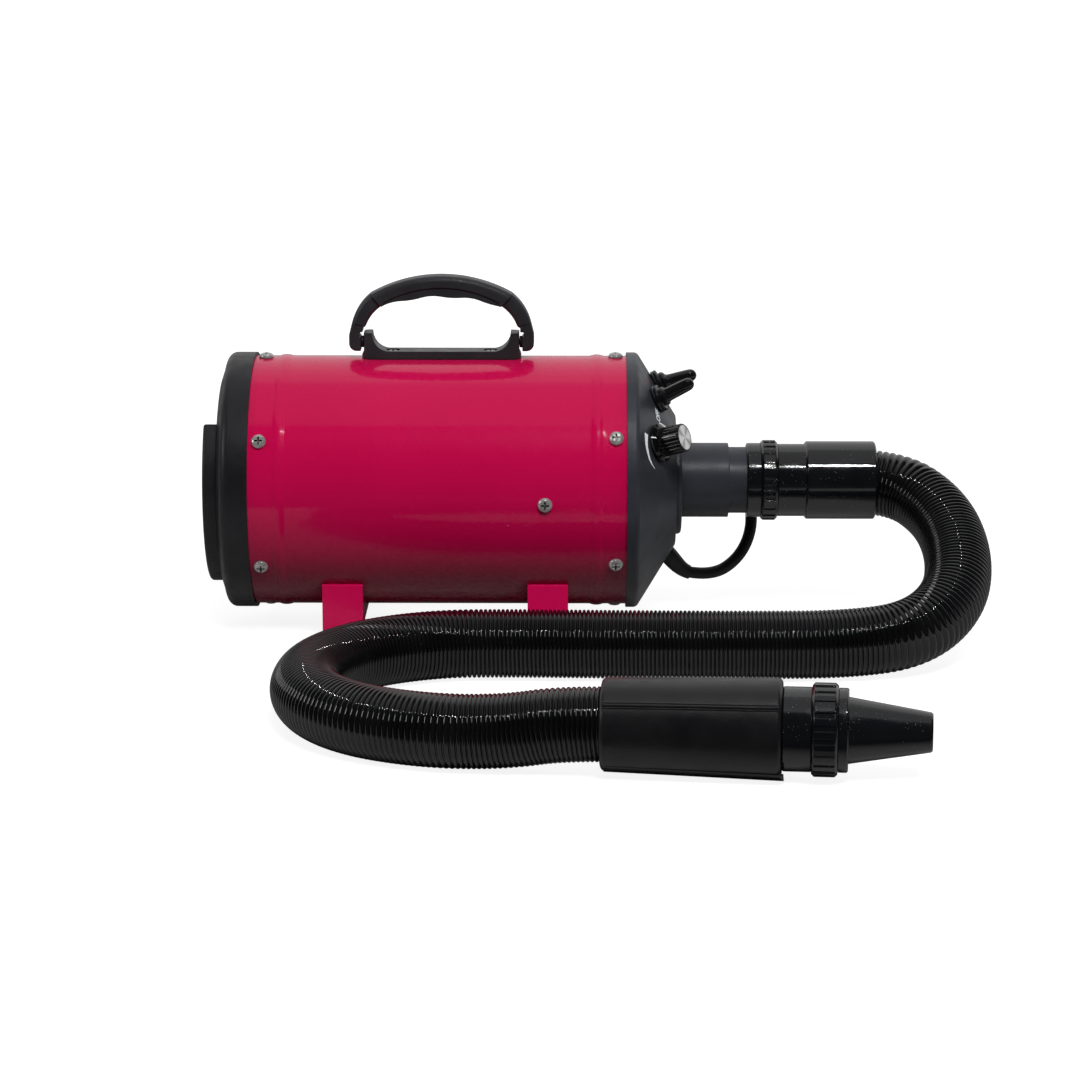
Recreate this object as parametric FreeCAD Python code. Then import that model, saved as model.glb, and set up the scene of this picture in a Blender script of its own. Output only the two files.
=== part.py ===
import FreeCAD, Part
import math
import os
from FreeCAD import Placement, Rotation, Vector

# A single-motor blower for drying pets, with its hose, nozzle and mains cord.
# Sizes are millimetres. X runs along the barrel towards the outlet, -Y is the side with the
# speed knob and Z is up. The origin is on the floor under the middle of the machine.
# While the pieces are made, z = 0 is the barrel's axis; each is lifted when it is written.
# Angles round the barrel start at the knob side, level with the axis, and grow upwards.

# Barrel: painted sheet steel with a rolled bead near each end
barrel_radius = 82.5
barrel_wall = 1.0
barrel_seen_length = 245.0
barrel_floor_gap = 13.2
bead_height = 0.9
bead_width = 9.0
bead_inset = 19.5

# Caps: black mouldings with a lip over the barrel's end and a collar inside it
cap_step = 2.3
cap_wall = 3.0
cap_lap = 3.0
lip_clearance = 0.15
collar_wall = 3.0
collar_length = 16.0
collar_clearance = 0.15
boss_radius = 5.0
boss_depth = 5.6

# Rear cap, from its lip back to the raised land round the filter cover
rear_rim_depth = 18.7
rear_dome_rise = 3.1
rear_edge_radius = 6.0
rear_screw_turn = -1.7
land_step = 15.3
intake_step = 7.5
guard_ring_count = 3
guard_ring_width = 3.0
guard_hub_radius = 12.0
guard_spoke_count = 6
guard_spoke_width = 4.0
guard_rim_width = 3.0
guard_rim_thickness = 1.5
guard_clearance = 0.2
duct_gap = 4.0
duct_wall = 2.0
duct_length = 73.0

# Filter cover: a D-shaped tray that pushes into a seat in the rear cap, its flat leaning back
cover_step = 2.0
cover_top_cut = 33.5
cover_lean = 13.0
cover_proud = 8.9
cover_wall = 2.4
cover_seat_depth = 5.0
cover_clearance = 0.3
cover_edge_radius = 2.0
cover_margin = 7.5
cover_slot_width = 4.2
cover_slot_pitch = 7.4
cover_rib_width = 5.0
cover_rib_spacing = 36.0
filter_thickness = 6.0
filter_clearance = 0.3

# Front cap: a short rim, a steep cone and a small flat face
front_rim_depth = 7.1
front_edge_radius = 4.0
cone_length = 25.8
face_radius = 43.0
face_edge_radius = 1.5
outlet_hole_radius = 26.0

# Outlet spigot
flange_radius = 36.0
flange_thickness = 3.9
flange_edge_radius = 2.4
spigot_body_length = 31.2
spigot_body_radius = 24.7
spigot_end_length = 27.9
spigot_end_radius = 22.0
spigot_bore_radius = 19.8
spigot_sleeve_depth = 12.0
spigot_snap_height = 0.9
spigot_snap_length = 1.8
spigot_clearance = 0.1

# Cross-recess pan-head screws through the barrel
screw_head_radius = 4.8
screw_head_height = 3.0
screw_rim_height = 1.1
screw_shank_radius = 2.4
screw_length = 8.0
screw_hole_clearance = 0.15
screw_pilot_clearance = 0.03
screw_inset = 7.2
cap_screw_count = 6
recess_arm_length = 5.2
recess_arm_width = 1.1
recess_depth = 1.6

# Smaller screws and nuts for the handle and the feet
small_head_radius = 3.7
small_head_height = 2.3
small_rim_height = 0.9
small_shank_radius = 2.0
small_recess_length = 4.2
small_recess_depth = 1.2
nut_radius = 4.6
nut_thickness = 3.2
nut_gap = 0.2
handle_screw_length = 9.4
foot_screw_length = 8.6

# Feet: a saddle under the barrel, folded down to two legs with webs between them
foot_width = 26.5
foot_side_inset = 22.0
foot_sheet = 1.5
foot_fold_drop = 1.8
foot_fold_radius = 1.2
foot_gap = 0.1
foot_arch_inset = 26.5
foot_arch_height = 5.0
foot_tab_length = 19.0
rear_foot_inset = 59.3
front_foot_inset = 51.4
foot_screw_angle = 16.0
pad_radius = 7.0
pad_height = 4.0
pad_inset = 10.5
pad_stem_radius = 2.8
pad_head_radius = 4.0
pad_head_height = 2.0
pad_clearance = 0.1

# Handle base: a narrow deck with two horns. Heights are above the barrel's top.
handle_offset = 0.55
base_half_length = 52.6
base_half_width = 8.5
base_corner_radius = 6.0
base_skirt_depth = 4.0
deck_height = 5.0
base_edge_height = 2.4
horn_height = 17.2
horn_outer = 51.2
horn_top_width = 5.6
horn_foot = 35.0
horn_curve_x = 42.4
horn_curve_z = 8.7
base_gap = 0.1
handle_screw_spacing = 64.4
counterbore_radius = 4.6
counterbore_depth = 2.7

# Handle, measured from its middle and from the barrel's top
pivot_height = 10.5
pin_radius = 2.2
pin_clearance = 0.05
pin_seat_clearance = 0.02
pin_in_horn = 4.0
pin_in_lug = 5.0
lug_inner = 53.3
lug_boss_radius = 3.9
lug_boss_gap = 0.2
lug_bottom = 4.8
lug_outer = 61.0
lug_half_width = 7.0
lug_edge_radius = 2.0
lug_corner_radius = 5.0
lug_top_outer = (59.0, 23.6)
lug_top_inner = (49.8, 21.6)
lug_overhang_inner = 51.9
lug_window_outer = 54.1
lug_window_bottom = 14.5
lug_window_top = 17.6
lug_shoulder_height = 20.4
arm_half_width = 7.5
arm_edge_radius = 3.4
arm_outer_middle = (54.5, 34.1)
arm_inner_middle = (45.6, 29.0)
grip_half_width = 9.0
grip_edge_radius = 4.0
grip_end_outer = (46.9, 42.6)
grip_end_inner = (39.4, 34.7)
grip_top_height = 54.9
grip_under_height = 41.3
grip_wave_count = 6
grip_wave_depth = 0.6
grip_panel_half_length = 38.0
grip_panel_end_height = 37.6
grip_panel_top_height = 47.4
grip_panel_depth = 1.0

# Speed knob and its potentiometer
knob_angle = 33.6
knob_share = 0.4713
knob_height = 19.4
knob_gap = 0.6
knob_skirt_radius = 12.6
knob_skirt_height = 1.7
knob_bevel_height = 1.4
knob_body_radius = 9.5
knob_body_draft = 0.2
knob_flute_count = 24
knob_flute_radius = 0.8
knob_flute_depth = 0.6
knob_recess_radius = 7.6
knob_recess_height = 3.6
knob_disc_radius = 8.2
knob_disc_thickness = 0.8
shaft_radius = 3.0
shaft_clearance = 0.02
shaft_top = 14.0
potentiometer_radius = 8.2
potentiometer_depth = 9.0
bushing_radius = 3.6
bushing_top = 2.6
running_clearance = 0.06
panel_gap = 0.45
panel_nut_radius = 5.6
panel_nut_thickness = 2.0

# Toggle switches under rubber boots
toggle_share = 0.5072
front_toggle_angle = 66.0
rear_toggle_angle = 90.0
front_toggle_tilt = 0.0
rear_toggle_tilt = -16.0
toggle_bushing_radius = 5.8
toggle_bushing_top = 1.8
toggle_bore_radius = 3.4
toggle_bore_depth = 5.0
toggle_ball_radius = 3.32
toggle_pin_radius = 0.8
toggle_pin_clearance = 0.05
toggle_pin_seat = 1.0
toggle_lever_radius = 1.5
toggle_lever_tip_radius = 2.2
toggle_lever_top = 23.0
toggle_lever_bottom = 4.2
toggle_body_width = 15.0
toggle_body_length = 24.0
toggle_body_depth = 18.0
toggle_nut_radius = 8.4
toggle_nut_thickness = 1.7
boot_flange_radius = 9.9
boot_flange_height = 1.9
boot_line_depth = 0.5
boot_line_width = 0.3
boot_step_radius = 9.6
boot_step_height = 4.2
boot_neck_radius = 5.7
boot_neck_height = 5.2
boot_ring_radius = 6.4
boot_dome_radius = 9.2
boot_bore_radius = 4.4
boot_cavity_radius = 8.8
boot_finger_gap = 0.1
boot_finger_radius = 4.6
boot_finger_tip_radius = 4.2
boot_finger_top = 27.6

# Motor and fan
can_margin = 14.5
can_wall = 1.2
can_length = 50.0
can_setback = 40.7
can_inlet_radius = 22.0
can_outlet_inset = 5.0
can_outlet_height = 14.0
can_outlet_count = 8
can_outlet_width = 16.0
impeller_tip_gap = 6.0
impeller_gap = 6.0
impeller_width = 13.0
impeller_plate = 1.0
impeller_eye_radius = 24.0
impeller_hub_radius = 8.0
impeller_blade_count = 9
impeller_blade_sweep = 48.0
impeller_blade_wall = 1.0
motor_shaft_radius = 4.0
motor_margin = 23.0
motor_frame_wall = 2.0
motor_frame_length = 94.0
motor_window_count = 4
motor_window_width = 22.0
motor_window_length = 20.0
armature_air_gap = 0.8
armature_length = 50.0
armature_start = 12.0
armature_slot_count = 12
armature_slot_radius = 2.2
commutator_radius = 13.0
commutator_length = 12.0
commutator_gap = 5.0
stator_wall = 17.0
stator_length = 46.0
bearing_radius = 11.0
bearing_length = 7.0
bearing_hub_wall = 3.0
brush_width = 9.0
brush_length = 10.0
mount_ring_length = 14.0
mount_clearance = 0.2

# Bracket for the motor's end, sheet steel, screwed to the barrel's sides
bracket_setback = 60.4
bracket_sheet = 1.2
bracket_flange_length = 17.0
bracket_hub_length = 9.0
bracket_rubber_wall = 2.0
bracket_opening_inner_step = 10.0
bracket_opening_outer_step = 5.5
bracket_opening_count = 6
bracket_spoke_width = 9.0
bracket_notch_half_width = 30.0
bracket_clearance = 0.2

# Sound-absorbing liner
liner_thickness = 11.0
liner_start_gap = 2.0
liner_end_gap = 4.0
liner_clearance = 0.3
liner_pocket_radius = 6.5

# Heater
heater_wall = 1.0
heater_motor_gap = 22.0
heater_clearance = 0.15
heater_gap = 0.3
heater_coil_radius = 22.0
heater_wire_radius = 0.9
heater_turns = 6
heater_coil_start = 7.5
heater_coil_end = 16.5
heater_end_share = 0.7
mica_thickness = 1.0
mica_end_length = 3.0
mica_clearance = 0.2
cutout_radius = 7.0
cutout_height = 5.0

# Speed control board, held on pillars in front of the bracket
board_margin = 6.5
board_width = 25.0
board_thickness = 1.6
board_from_angle = -68.0
board_to_angle = 8.0
board_pillar_length = 12.0
board_pillar_radius = 2.5
heatsink_size = 16.0
heatsink_height = 12.0
choke_radius = 6.0
choke_height = 9.0

# Hose fittings at the machine
coupler_start = 15.9
coupler_collar_length = 9.4
coupler_collar_radius = 24.7
coupler_collar_edge = 0.8
coupler_tube_radius = 23.2
coupler_clearance = 0.1
ring_radius = 26.7
ring_length = 11.3
ring_chamfer = 1.6
ring_rib_count = 22
ring_groove_width = 3.4
ring_groove_depth = 0.9
ring_clearance = 0.08
ring_end_gap = 0.15
neck_radius = 24.1
neck_length = 18.2
cuff_radius = 25.9
cuff_length = 46.8
cuff_edge = 1.2
cuff_flare = 1.3
cuff_flare_length = 14.0

# Hose
hose_radius = 21.6
hose_wall = 1.6
hose_in_cuff = 28.0
hose_in_grip = 14.0
hose_end_gap = 0.3
hose_clearance = 0.2

# Grip, socket, second lock ring and nozzle on the hose's free end
grip_start = Vector(71.1, -367.8, 0)
grip_yaw = -5.0
grip_length = 102.6
grip_start_radius = 26.7
grip_end_radius = 28.8
grip_round = 3.0
grip_floor_gap = 0.1
sleeve_clearance = 0.3
socket_length = 16.4
socket_radius = 24.1
socket_nose_length = 7.0
socket_gap = 0.2
socket_edge = 0.6
socket_bore_radius = 19.0
end_ring_length = 15.2
nozzle_collar_length = 5.7
nozzle_collar_radius = 24.0
nozzle_root_radius = 19.0
nozzle_tip_radius = 11.4
nozzle_length = 47.4
nozzle_wall = 2.2
nozzle_root_length = 7.6

# Mains cord: strain relief, lead, coil and plug
cord_radius = 4.0
relief_angle = -116.0
relief_share = 0.3589
relief_base_radius = 6.6
relief_end_radius = 4.8
relief_flange_radius = 8.6
relief_flange_height = 2.0
relief_shank_radius = 5.4
relief_shank_clearance = 0.1
relief_lip_radius = 6.4
relief_lip_length = 3.0
relief_lip_gap = 0.5
coil_centre = Vector(3.6, 150, 0)
coil_outer_radius = 56.0
coil_inner_radius = 40.0
coil_height = 24.0
plug_radius = 18.6
plug_face_length = 16.0
plug_body_length = 36.0
plug_tail_length = 22.0
plug_tail_radius = 6.0
plug_waist_radius = 12.0
plug_pin_radius = 2.4
plug_pin_length = 19.0
plug_pin_spacing = 19.0
plug_floor_gap = 0.1
plug_coil_overlap = 32.3

# Stations along X, from the face of the filter cover to the spigot's open end
machine_length = (cover_proud + rear_dome_rise + rear_rim_depth + barrel_seen_length + front_rim_depth
                  + cone_length + flange_thickness + spigot_body_length + spigot_end_length)
cover_face_x = -machine_length / 2
land_x = cover_face_x + cover_proud
rear_rim_x = land_x + rear_dome_rise
rear_lip_x = rear_rim_x + rear_rim_depth
front_lip_x = rear_lip_x + barrel_seen_length
cone_start_x = front_lip_x + front_rim_depth
front_face_x = cone_start_x + cone_length
flange_end_x = front_face_x + flange_thickness
spigot_step_x = flange_end_x + spigot_body_length
spigot_end_x = spigot_step_x + spigot_end_length
seat_floor_x = land_x + cover_seat_depth + cover_clearance
rear_wall_x = seat_floor_x + cap_wall
can_x = rear_lip_x + can_setback
motor_x = can_x + can_length
bracket_x = front_lip_x - bracket_setback - bracket_sheet
motor_end_x = motor_x + motor_frame_length
handle_x = (rear_lip_x + front_lip_x) / 2 + handle_offset
rear_foot_x = rear_lip_x + rear_foot_inset
front_foot_x = front_lip_x - front_foot_inset
coupler_x = spigot_end_x - coupler_start
ring_x = coupler_x + coupler_collar_length
neck_x = ring_x + ring_length
cuff_x = neck_x + neck_length
hose_start_x = cuff_x + cuff_length
spigot_back_x = front_face_x - cap_wall - spigot_clearance
spigot_start_x = spigot_back_x - spigot_sleeve_depth
heater_end_x = spigot_back_x - spigot_snap_length - heater_gap
heater_start_x = motor_end_x + heater_motor_gap
heater_length = heater_end_x - heater_start_x
heater_pitch = (heater_length - heater_coil_start - heater_coil_end) / heater_turns

# Radii and heights that several pieces share
barrel_axis_height = barrel_radius + barrel_floor_gap
barrel_inner_radius = barrel_radius - barrel_wall
cap_radius = barrel_radius + cap_step
land_radius = cap_radius - land_step
cover_radius = land_radius - cover_step
cover_flat_height = cover_radius - cover_top_cut
intake_radius = cover_radius - intake_step
intake_flat_height = cover_flat_height - intake_step
guard_radius = intake_radius + guard_rim_width
guard_flat_height = intake_flat_height + guard_rim_width
can_radius = barrel_inner_radius - can_margin
can_outlet_outer = can_radius - can_outlet_inset
can_outlet_inner = can_outlet_outer - can_outlet_height
duct_inner_radius = can_radius + duct_gap
impeller_radius = can_radius - impeller_tip_gap
motor_frame_radius = can_radius - motor_margin
stator_inner_radius = motor_frame_radius - motor_frame_wall - stator_wall
armature_radius = stator_inner_radius - armature_air_gap
bracket_opening_inner = motor_frame_radius + bracket_opening_inner_step
bracket_opening_outer = barrel_inner_radius - bracket_opening_outer_step
board_outer_radius = barrel_inner_radius - board_margin
board_inner_radius = board_outer_radius - board_width
foot_half_span = barrel_radius - foot_side_inset
foot_fold_height = math.sqrt(barrel_radius ** 2 - foot_half_span ** 2) + foot_fold_drop
foot_arch_half_length = foot_half_span - foot_arch_inset
pad_place = foot_half_span - pad_inset
knob_station = face_radius + knob_share * (cap_radius - face_radius)
toggle_station = face_radius + toggle_share * (cap_radius - face_radius)
relief_station = face_radius + relief_share * (cap_radius - face_radius)
top_angle = 90.0
collar_radius = barrel_inner_radius - collar_clearance
collar_inner_radius = collar_radius - collar_wall
cone_lean = math.atan2(cone_length, cap_radius - face_radius)
spigot_sleeve_radius = outlet_hole_radius - spigot_clearance
heater_radius = spigot_sleeve_radius + heater_clearance + heater_wall
floor_z = -barrel_axis_height
leg_bottom_z = floor_z + pad_height
hose_floor_z = floor_z + hose_radius + 0.1
cord_floor_z = floor_z + cord_radius + 0.1
grip_z = floor_z + grip_end_radius + grip_floor_gap

ALONG = Vector(1, 0, 0)
UP = Vector(0, 0, 1)


def radial(angle):
    """Unit vector from the barrel's axis at an angle round it."""
    turn = math.radians(angle)
    return Vector(0, -math.cos(turn), math.sin(turn))


def loop(points):
    """A closed wire through (x, z) points; a triple (middle, end) pair makes an arc to its end."""
    corners = [Vector(points[0][0], 0, points[0][1])]
    edges = []
    for point in list(points[1:]) + [points[0]]:
        start = corners[-1]
        if isinstance(point[0], tuple):
            middle = Vector(point[0][0], 0, point[0][1])
            end = Vector(point[1][0], 0, point[1][1])
            edges.append(Part.Arc(start, middle, end).toShape())
        else:
            end = Vector(point[0], 0, point[1])
            if (end - start).Length < 1e-6:
                continue
            edges.append(Part.LineSegment(start, end).toShape())
        corners.append(end)
    return Part.Wire(edges)


def turned(points):
    """Solid of revolution about the barrel's axis from (x, radius) points."""
    return Part.Face(loop(points)).revolve(Vector(), ALONG, 360)


def tube(start_x, end_x, outer, inner=0.0):
    """Ring or disc about the barrel's axis."""
    body = Part.makeCylinder(outer, end_x - start_x, Vector(start_x, 0, 0), ALONG)
    if inner:
        body = body.cut(Part.makeCylinder(inner, end_x - start_x, Vector(start_x, 0, 0), ALONG))
    return body


def upright(points):
    """Solid of revolution about Z from (radius, z) points."""
    return Part.Face(loop(points)).revolve(Vector(), UP, 360)


def slab(points, half_width):
    """An (x, z) outline with thickness across Y, centred."""
    face = Part.Face(loop(points))
    face.translate(Vector(0, -half_width, 0))
    return face.extrude(Vector(0, 2 * half_width, 0))


def block(size_x, size_y, size_z, centre):
    """A box about its centre."""
    corner = centre - Vector(size_x, size_y, size_z) * 0.5
    return Part.makeBox(size_x, size_y, size_z, corner)


def hexagon(radius, thickness, hole):
    """A hexagon nut along Z, standing on z = 0; radius is to its corners."""
    corners = [Vector(radius * math.cos(math.radians(60 * k)), radius * math.sin(math.radians(60 * k)), 0)
               for k in range(7)]
    body = Part.Face(Part.makePolygon(corners)).extrude(UP * thickness)
    return body.cut(Part.makeCylinder(hole, thickness))


def placed(shape, base, direction, side=None):
    """A copy of a shape made along Z, put at a base with its Z along a direction."""
    copy = shape.copy()
    if side is None:
        turn = Rotation(UP, direction)
    else:
        turn = Rotation(side, direction.cross(side), direction, "ZXY")
    copy.Placement = Placement(base, turn).multiply(copy.Placement)
    return copy


def fused(shapes):
    """One solid from pieces that touch, with merged faces."""
    body = shapes[0].fuse(shapes[1:]) if len(shapes) > 1 else shapes[0]
    return body.removeSplitter()


def softened(shape, radius, wanted):
    """Round the edges that a test picks."""
    edges = [edge for edge in shape.Edges if wanted(edge)]
    return shape.makeFillet(radius, edges)


def cone_point(station, angle):
    """A point on the front cap's cone, at a distance from the axis and an angle round it."""
    x = front_face_x - (station - face_radius) * math.tan(cone_lean)
    return Vector(x, 0, 0) + radial(angle) * station


def cone_normal(angle):
    """The way out of the cone at an angle round the axis."""
    return ALONG * math.cos(cone_lean) + radial(angle) * math.sin(cone_lean)


def cone_slope(angle):
    """The way up the cone's slope, towards the rim."""
    return radial(angle) * math.cos(cone_lean) - ALONG * math.sin(cone_lean)


def on_cone(shape, station, angle):
    """Put a shape made along Z on the cone, its X along the slope."""
    return placed(shape, cone_point(station, angle), cone_normal(angle), cone_slope(angle))


def pan_screw(head_radius, head_height, rim_height, shank, length, recess_length, depth):
    """A screw along Z with the underside of its head at z = 0 and a cross recess on top."""
    crown = head_radius * 0.55
    shoulder = ((head_radius + crown) / 2 + 0.25, (rim_height + head_height) / 2 + 0.35)
    body = upright([(0, -length), (shank, -length), (shank, 0), (head_radius, 0),
                    (head_radius, rim_height), (shoulder, (crown, head_height)), (0, head_height)])
    for size_x, size_y in ((recess_length, recess_arm_width), (recess_arm_width, recess_length)):
        body = body.cut(block(size_x, size_y, depth, Vector(0, 0, head_height - depth / 2)))
    return body


def barrel_screw(x, angle):
    """The common screw, driven into the barrel's side."""
    screw = pan_screw(screw_head_radius, screw_head_height, screw_rim_height, screw_shank_radius,
                      screw_length, recess_arm_length, recess_depth)
    return placed(screw, Vector(x, 0, 0) + radial(angle) * barrel_radius, radial(angle), ALONG)


def small_screw(length):
    """The screw of the handle and the feet."""
    return pan_screw(small_head_radius, small_head_height, small_rim_height, small_shank_radius,
                     length, small_recess_length, small_recess_depth)


def radial_hole(x, angle, radius, inner, outer):
    """A cutter along a radius of the barrel."""
    return Part.makeCylinder(radius, outer - inner, Vector(x, 0, 0) + radial(angle) * inner, radial(angle))


def cap_screw_places(x):
    """Stations and angles of the screws round a cap, one near the top; the rear cap is turned a little."""
    first = top_angle + (rear_screw_turn if x == rear_screw_x else 0)
    return [(x, first + 360 / cap_screw_count * k) for k in range(cap_screw_count)]


rear_screw_x = rear_lip_x + screw_inset
front_screw_x = front_lip_x - screw_inset
bracket_screw_x = bracket_x + bracket_flange_length / 2
bracket_screw_angles = (0, 180)
handle_screw_xs = [handle_x + side * handle_screw_spacing / 2 for side in (-1, 1)]
foot_xs = (rear_foot_x, front_foot_x)
foot_screw_places = [(x, -90 + side * foot_screw_angle) for x in foot_xs for side in (-1, 1)]


# Casing

def barrel():
    """The tube, with its beads and screw holes."""
    start, end = rear_lip_x - cap_lap, front_lip_x + cap_lap
    outer, inner = barrel_radius, barrel_inner_radius
    rear_bead, front_bead = rear_lip_x + bead_inset, front_lip_x - bead_inset
    half = bead_width / 2
    body = turned([
        (start, outer), (rear_bead - half, outer),
        ((rear_bead, outer + bead_height), (rear_bead + half, outer)),
        (front_bead - half, outer), ((front_bead, outer + bead_height), (front_bead + half, outer)),
        (end, outer), (end, inner), (front_bead + half, inner),
        ((front_bead, inner + bead_height), (front_bead - half, inner)),
        (rear_bead + half, inner), ((rear_bead, inner + bead_height), (rear_bead - half, inner)),
        (start, inner)])
    holes = [(x, angle, screw_shank_radius)
             for x, angle in cap_screw_places(rear_screw_x) + cap_screw_places(front_screw_x)]
    holes += [(bracket_screw_x, angle, screw_shank_radius) for angle in bracket_screw_angles]
    holes += [(x, top_angle, small_shank_radius) for x in handle_screw_xs]
    holes += [(x, angle, small_shank_radius) for x, angle in foot_screw_places]
    cutters = [radial_hole(x, angle, shank + screw_hole_clearance, inner - 4, outer + 4)
               for x, angle, shank in holes]
    return body.cut(cutters)


def cap_holes(x):
    """Blind pilot holes for the ring of screws in a cap."""
    pilot = screw_shank_radius + screw_pilot_clearance
    return [radial_hole(x, angle, pilot, barrel_radius - screw_length - 0.2, collar_radius + 1)
            for x, angle in cap_screw_places(x)]


def cap_bosses(x):
    """Bosses behind the collar that the screws bite into."""
    bosses = []
    for x, angle in cap_screw_places(x):
        boss = radial_hole(x, angle, boss_radius, collar_inner_radius - boss_depth, collar_radius)
        bosses.append(boss.common(tube(x - boss_radius, x + boss_radius, collar_radius)))
    return bosses


def d_prism(radius, flat, start_x, end_x):
    """A round slab with a flat on top."""
    body = tube(start_x, end_x, radius)
    top = block(end_x - start_x + 2, 2 * radius, 2 * radius,
                Vector((start_x + end_x) / 2, 0, flat + radius))
    return body.cut(top)


def leaned(shape):
    """Turn a piece of the intake about the axis, so that its flat leans away from the knob's side."""
    copy = shape.copy()
    copy.rotate(Vector(), ALONG, -cover_lean)
    return copy


def rear_cap():
    """The cap with the cover's seat, the guard's seat and the duct to the fan."""
    lip_inner = barrel_radius + lip_clearance
    corner = rear_edge_radius * (1 - math.sqrt(0.5))
    groove_x = rear_lip_x - cap_lap - lip_clearance
    collar_end = rear_lip_x + collar_length
    body = turned([
        (land_x, 0), (land_x, land_radius), (rear_rim_x, cap_radius - rear_edge_radius),
        ((rear_rim_x + corner, cap_radius - corner), (rear_rim_x + rear_edge_radius, cap_radius)),
        (rear_lip_x, cap_radius), (rear_lip_x, lip_inner), (groove_x, lip_inner),
        (groove_x, collar_radius), (collar_end, collar_radius), (collar_end, collar_inner_radius),
        (rear_wall_x + cap_wall, collar_inner_radius), (rear_wall_x, collar_inner_radius - cap_wall),
        (rear_wall_x, 0)])
    duct = tube(rear_wall_x, rear_wall_x + duct_length, duct_inner_radius + duct_wall, duct_inner_radius)
    body = fused([body, duct] + cap_bosses(rear_screw_x))
    seat = d_prism(cover_radius + cover_clearance, cover_flat_height + cover_clearance,
                   land_x - 1, seat_floor_x)
    rebate = d_prism(guard_radius + guard_clearance, guard_flat_height + guard_clearance,
                     seat_floor_x - 1, seat_floor_x + guard_rim_thickness)
    intake = d_prism(intake_radius, intake_flat_height, seat_floor_x - 1, rear_wall_x + 1)
    return body.cut([leaned(seat), leaned(rebate), leaned(intake)] + cap_holes(rear_screw_x))


def finger_guard():
    """The grille of rings and spokes that drops into the cap's rebate, under the filter cover."""
    start, end = seat_floor_x, rear_wall_x
    rim = d_prism(guard_radius, guard_flat_height, start, start + guard_rim_thickness)
    plug = d_prism(intake_radius - guard_clearance, intake_flat_height - guard_clearance, start, end)
    pitch = (intake_radius - guard_rim_width - guard_hub_radius) / guard_ring_count
    openings = Part.makeCompound([tube(start - 1, end + 1, guard_hub_radius + pitch * (k + 1),
                                       guard_hub_radius + pitch * k + guard_ring_width)
                                  for k in range(guard_ring_count)])
    spokes = []
    for k in range(guard_spoke_count // 2):
        spoke = block(3 * cap_wall, 2 * guard_radius, guard_spoke_width, Vector((start + end) / 2, 0, 0))
        spoke.rotate(Vector(), ALONG, 360 / guard_spoke_count * (k + 0.5))
        spokes.append(spoke)
    inside = d_prism(intake_radius - guard_rim_width, intake_flat_height - guard_rim_width,
                     start - 1, end + 1)
    openings = openings.cut(spokes).common(inside)
    return leaned(fused([rim, plug]).cut(openings))


def filter_cover():
    """The D-shaped tray with its slots."""
    start, end = cover_face_x, land_x + cover_seat_depth
    body = d_prism(cover_radius, cover_flat_height, start, end)
    body = softened(body, cover_edge_radius, lambda edge: edge.BoundBox.XMax < start + 0.01)
    hollow = d_prism(cover_radius - cover_wall, cover_flat_height - cover_wall, start + cover_wall, end + 1)
    slots = []
    reach = cover_radius - cover_margin
    z = -reach + cover_slot_pitch / 2
    while z < cover_flat_height - cover_margin:
        half = math.sqrt(max(reach ** 2 - (abs(z) + cover_slot_width / 2) ** 2, 0))
        if half > cover_rib_width:
            slots.append(block(2 * cover_wall, 2 * half, cover_slot_width, Vector(start, 0, z)))
        z += cover_slot_pitch
    ribs = [block(3 * cover_wall, cover_rib_width, 3 * cover_radius, Vector(start, y, 0))
            for y in (-cover_rib_spacing, 0, cover_rib_spacing)]
    grille = Part.makeCompound(slots).cut(ribs)
    return leaned(body.cut([hollow, grille]))


def filter_pad():
    """The filter foam in the cover's tray."""
    start = cover_face_x + cover_wall + filter_clearance
    inset = cover_wall + filter_clearance
    return leaned(d_prism(cover_radius - inset, cover_flat_height - inset, start,
                          start + filter_thickness))


def control_places():
    """Where a hole goes through the cone: (station, angle, radius)."""
    return [(knob_station, knob_angle, bushing_radius + running_clearance),
            (toggle_station, front_toggle_angle, toggle_bushing_radius + running_clearance),
            (toggle_station, rear_toggle_angle, toggle_bushing_radius + running_clearance),
            (relief_station, relief_angle, relief_shank_radius + relief_shank_clearance)]


def front_cap():
    """The cap with the cone, the flat face, the outlet hole and the holes for the controls."""
    lip_inner = barrel_radius + lip_clearance
    groove_x = front_lip_x + cap_lap + lip_clearance
    collar_end = front_lip_x - collar_length
    inner_face_x = front_face_x - cap_wall
    lean = math.tan(cone_lean)
    inner_face_radius = face_radius - cap_wall * math.tan(cone_lean / 2)
    rim_inner_x = inner_face_x - (collar_inner_radius - inner_face_radius) * lean
    body = turned([
        (front_face_x, outlet_hole_radius), (front_face_x, face_radius), (cone_start_x, cap_radius),
        (front_lip_x, cap_radius), (front_lip_x, lip_inner), (groove_x, lip_inner),
        (groove_x, collar_radius), (collar_end, collar_radius), (collar_end, collar_inner_radius),
        (rim_inner_x, collar_inner_radius), (inner_face_x, inner_face_radius),
        (inner_face_x, outlet_hole_radius)])
    body = softened(body, front_edge_radius, lambda edge: is_ring(edge, cone_start_x, cap_radius))
    body = softened(body, face_edge_radius, lambda edge: is_ring(edge, front_face_x, face_radius))
    body = fused([body] + cap_bosses(front_screw_x))
    holes = [on_cone(Part.makeCylinder(radius, 3 * cap_wall, Vector(0, 0, -2 * cap_wall)), station, angle)
             for station, angle, radius in control_places()]
    return body.cut(holes + cap_holes(front_screw_x))


def is_ring(edge, x, radius):
    """Whether an edge is the circle of a radius at a station."""
    box = edge.BoundBox
    return abs(box.XMin - x) < 0.01 and abs(box.XMax - x) < 0.01 and abs(box.ZMax - radius) < 0.01


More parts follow.
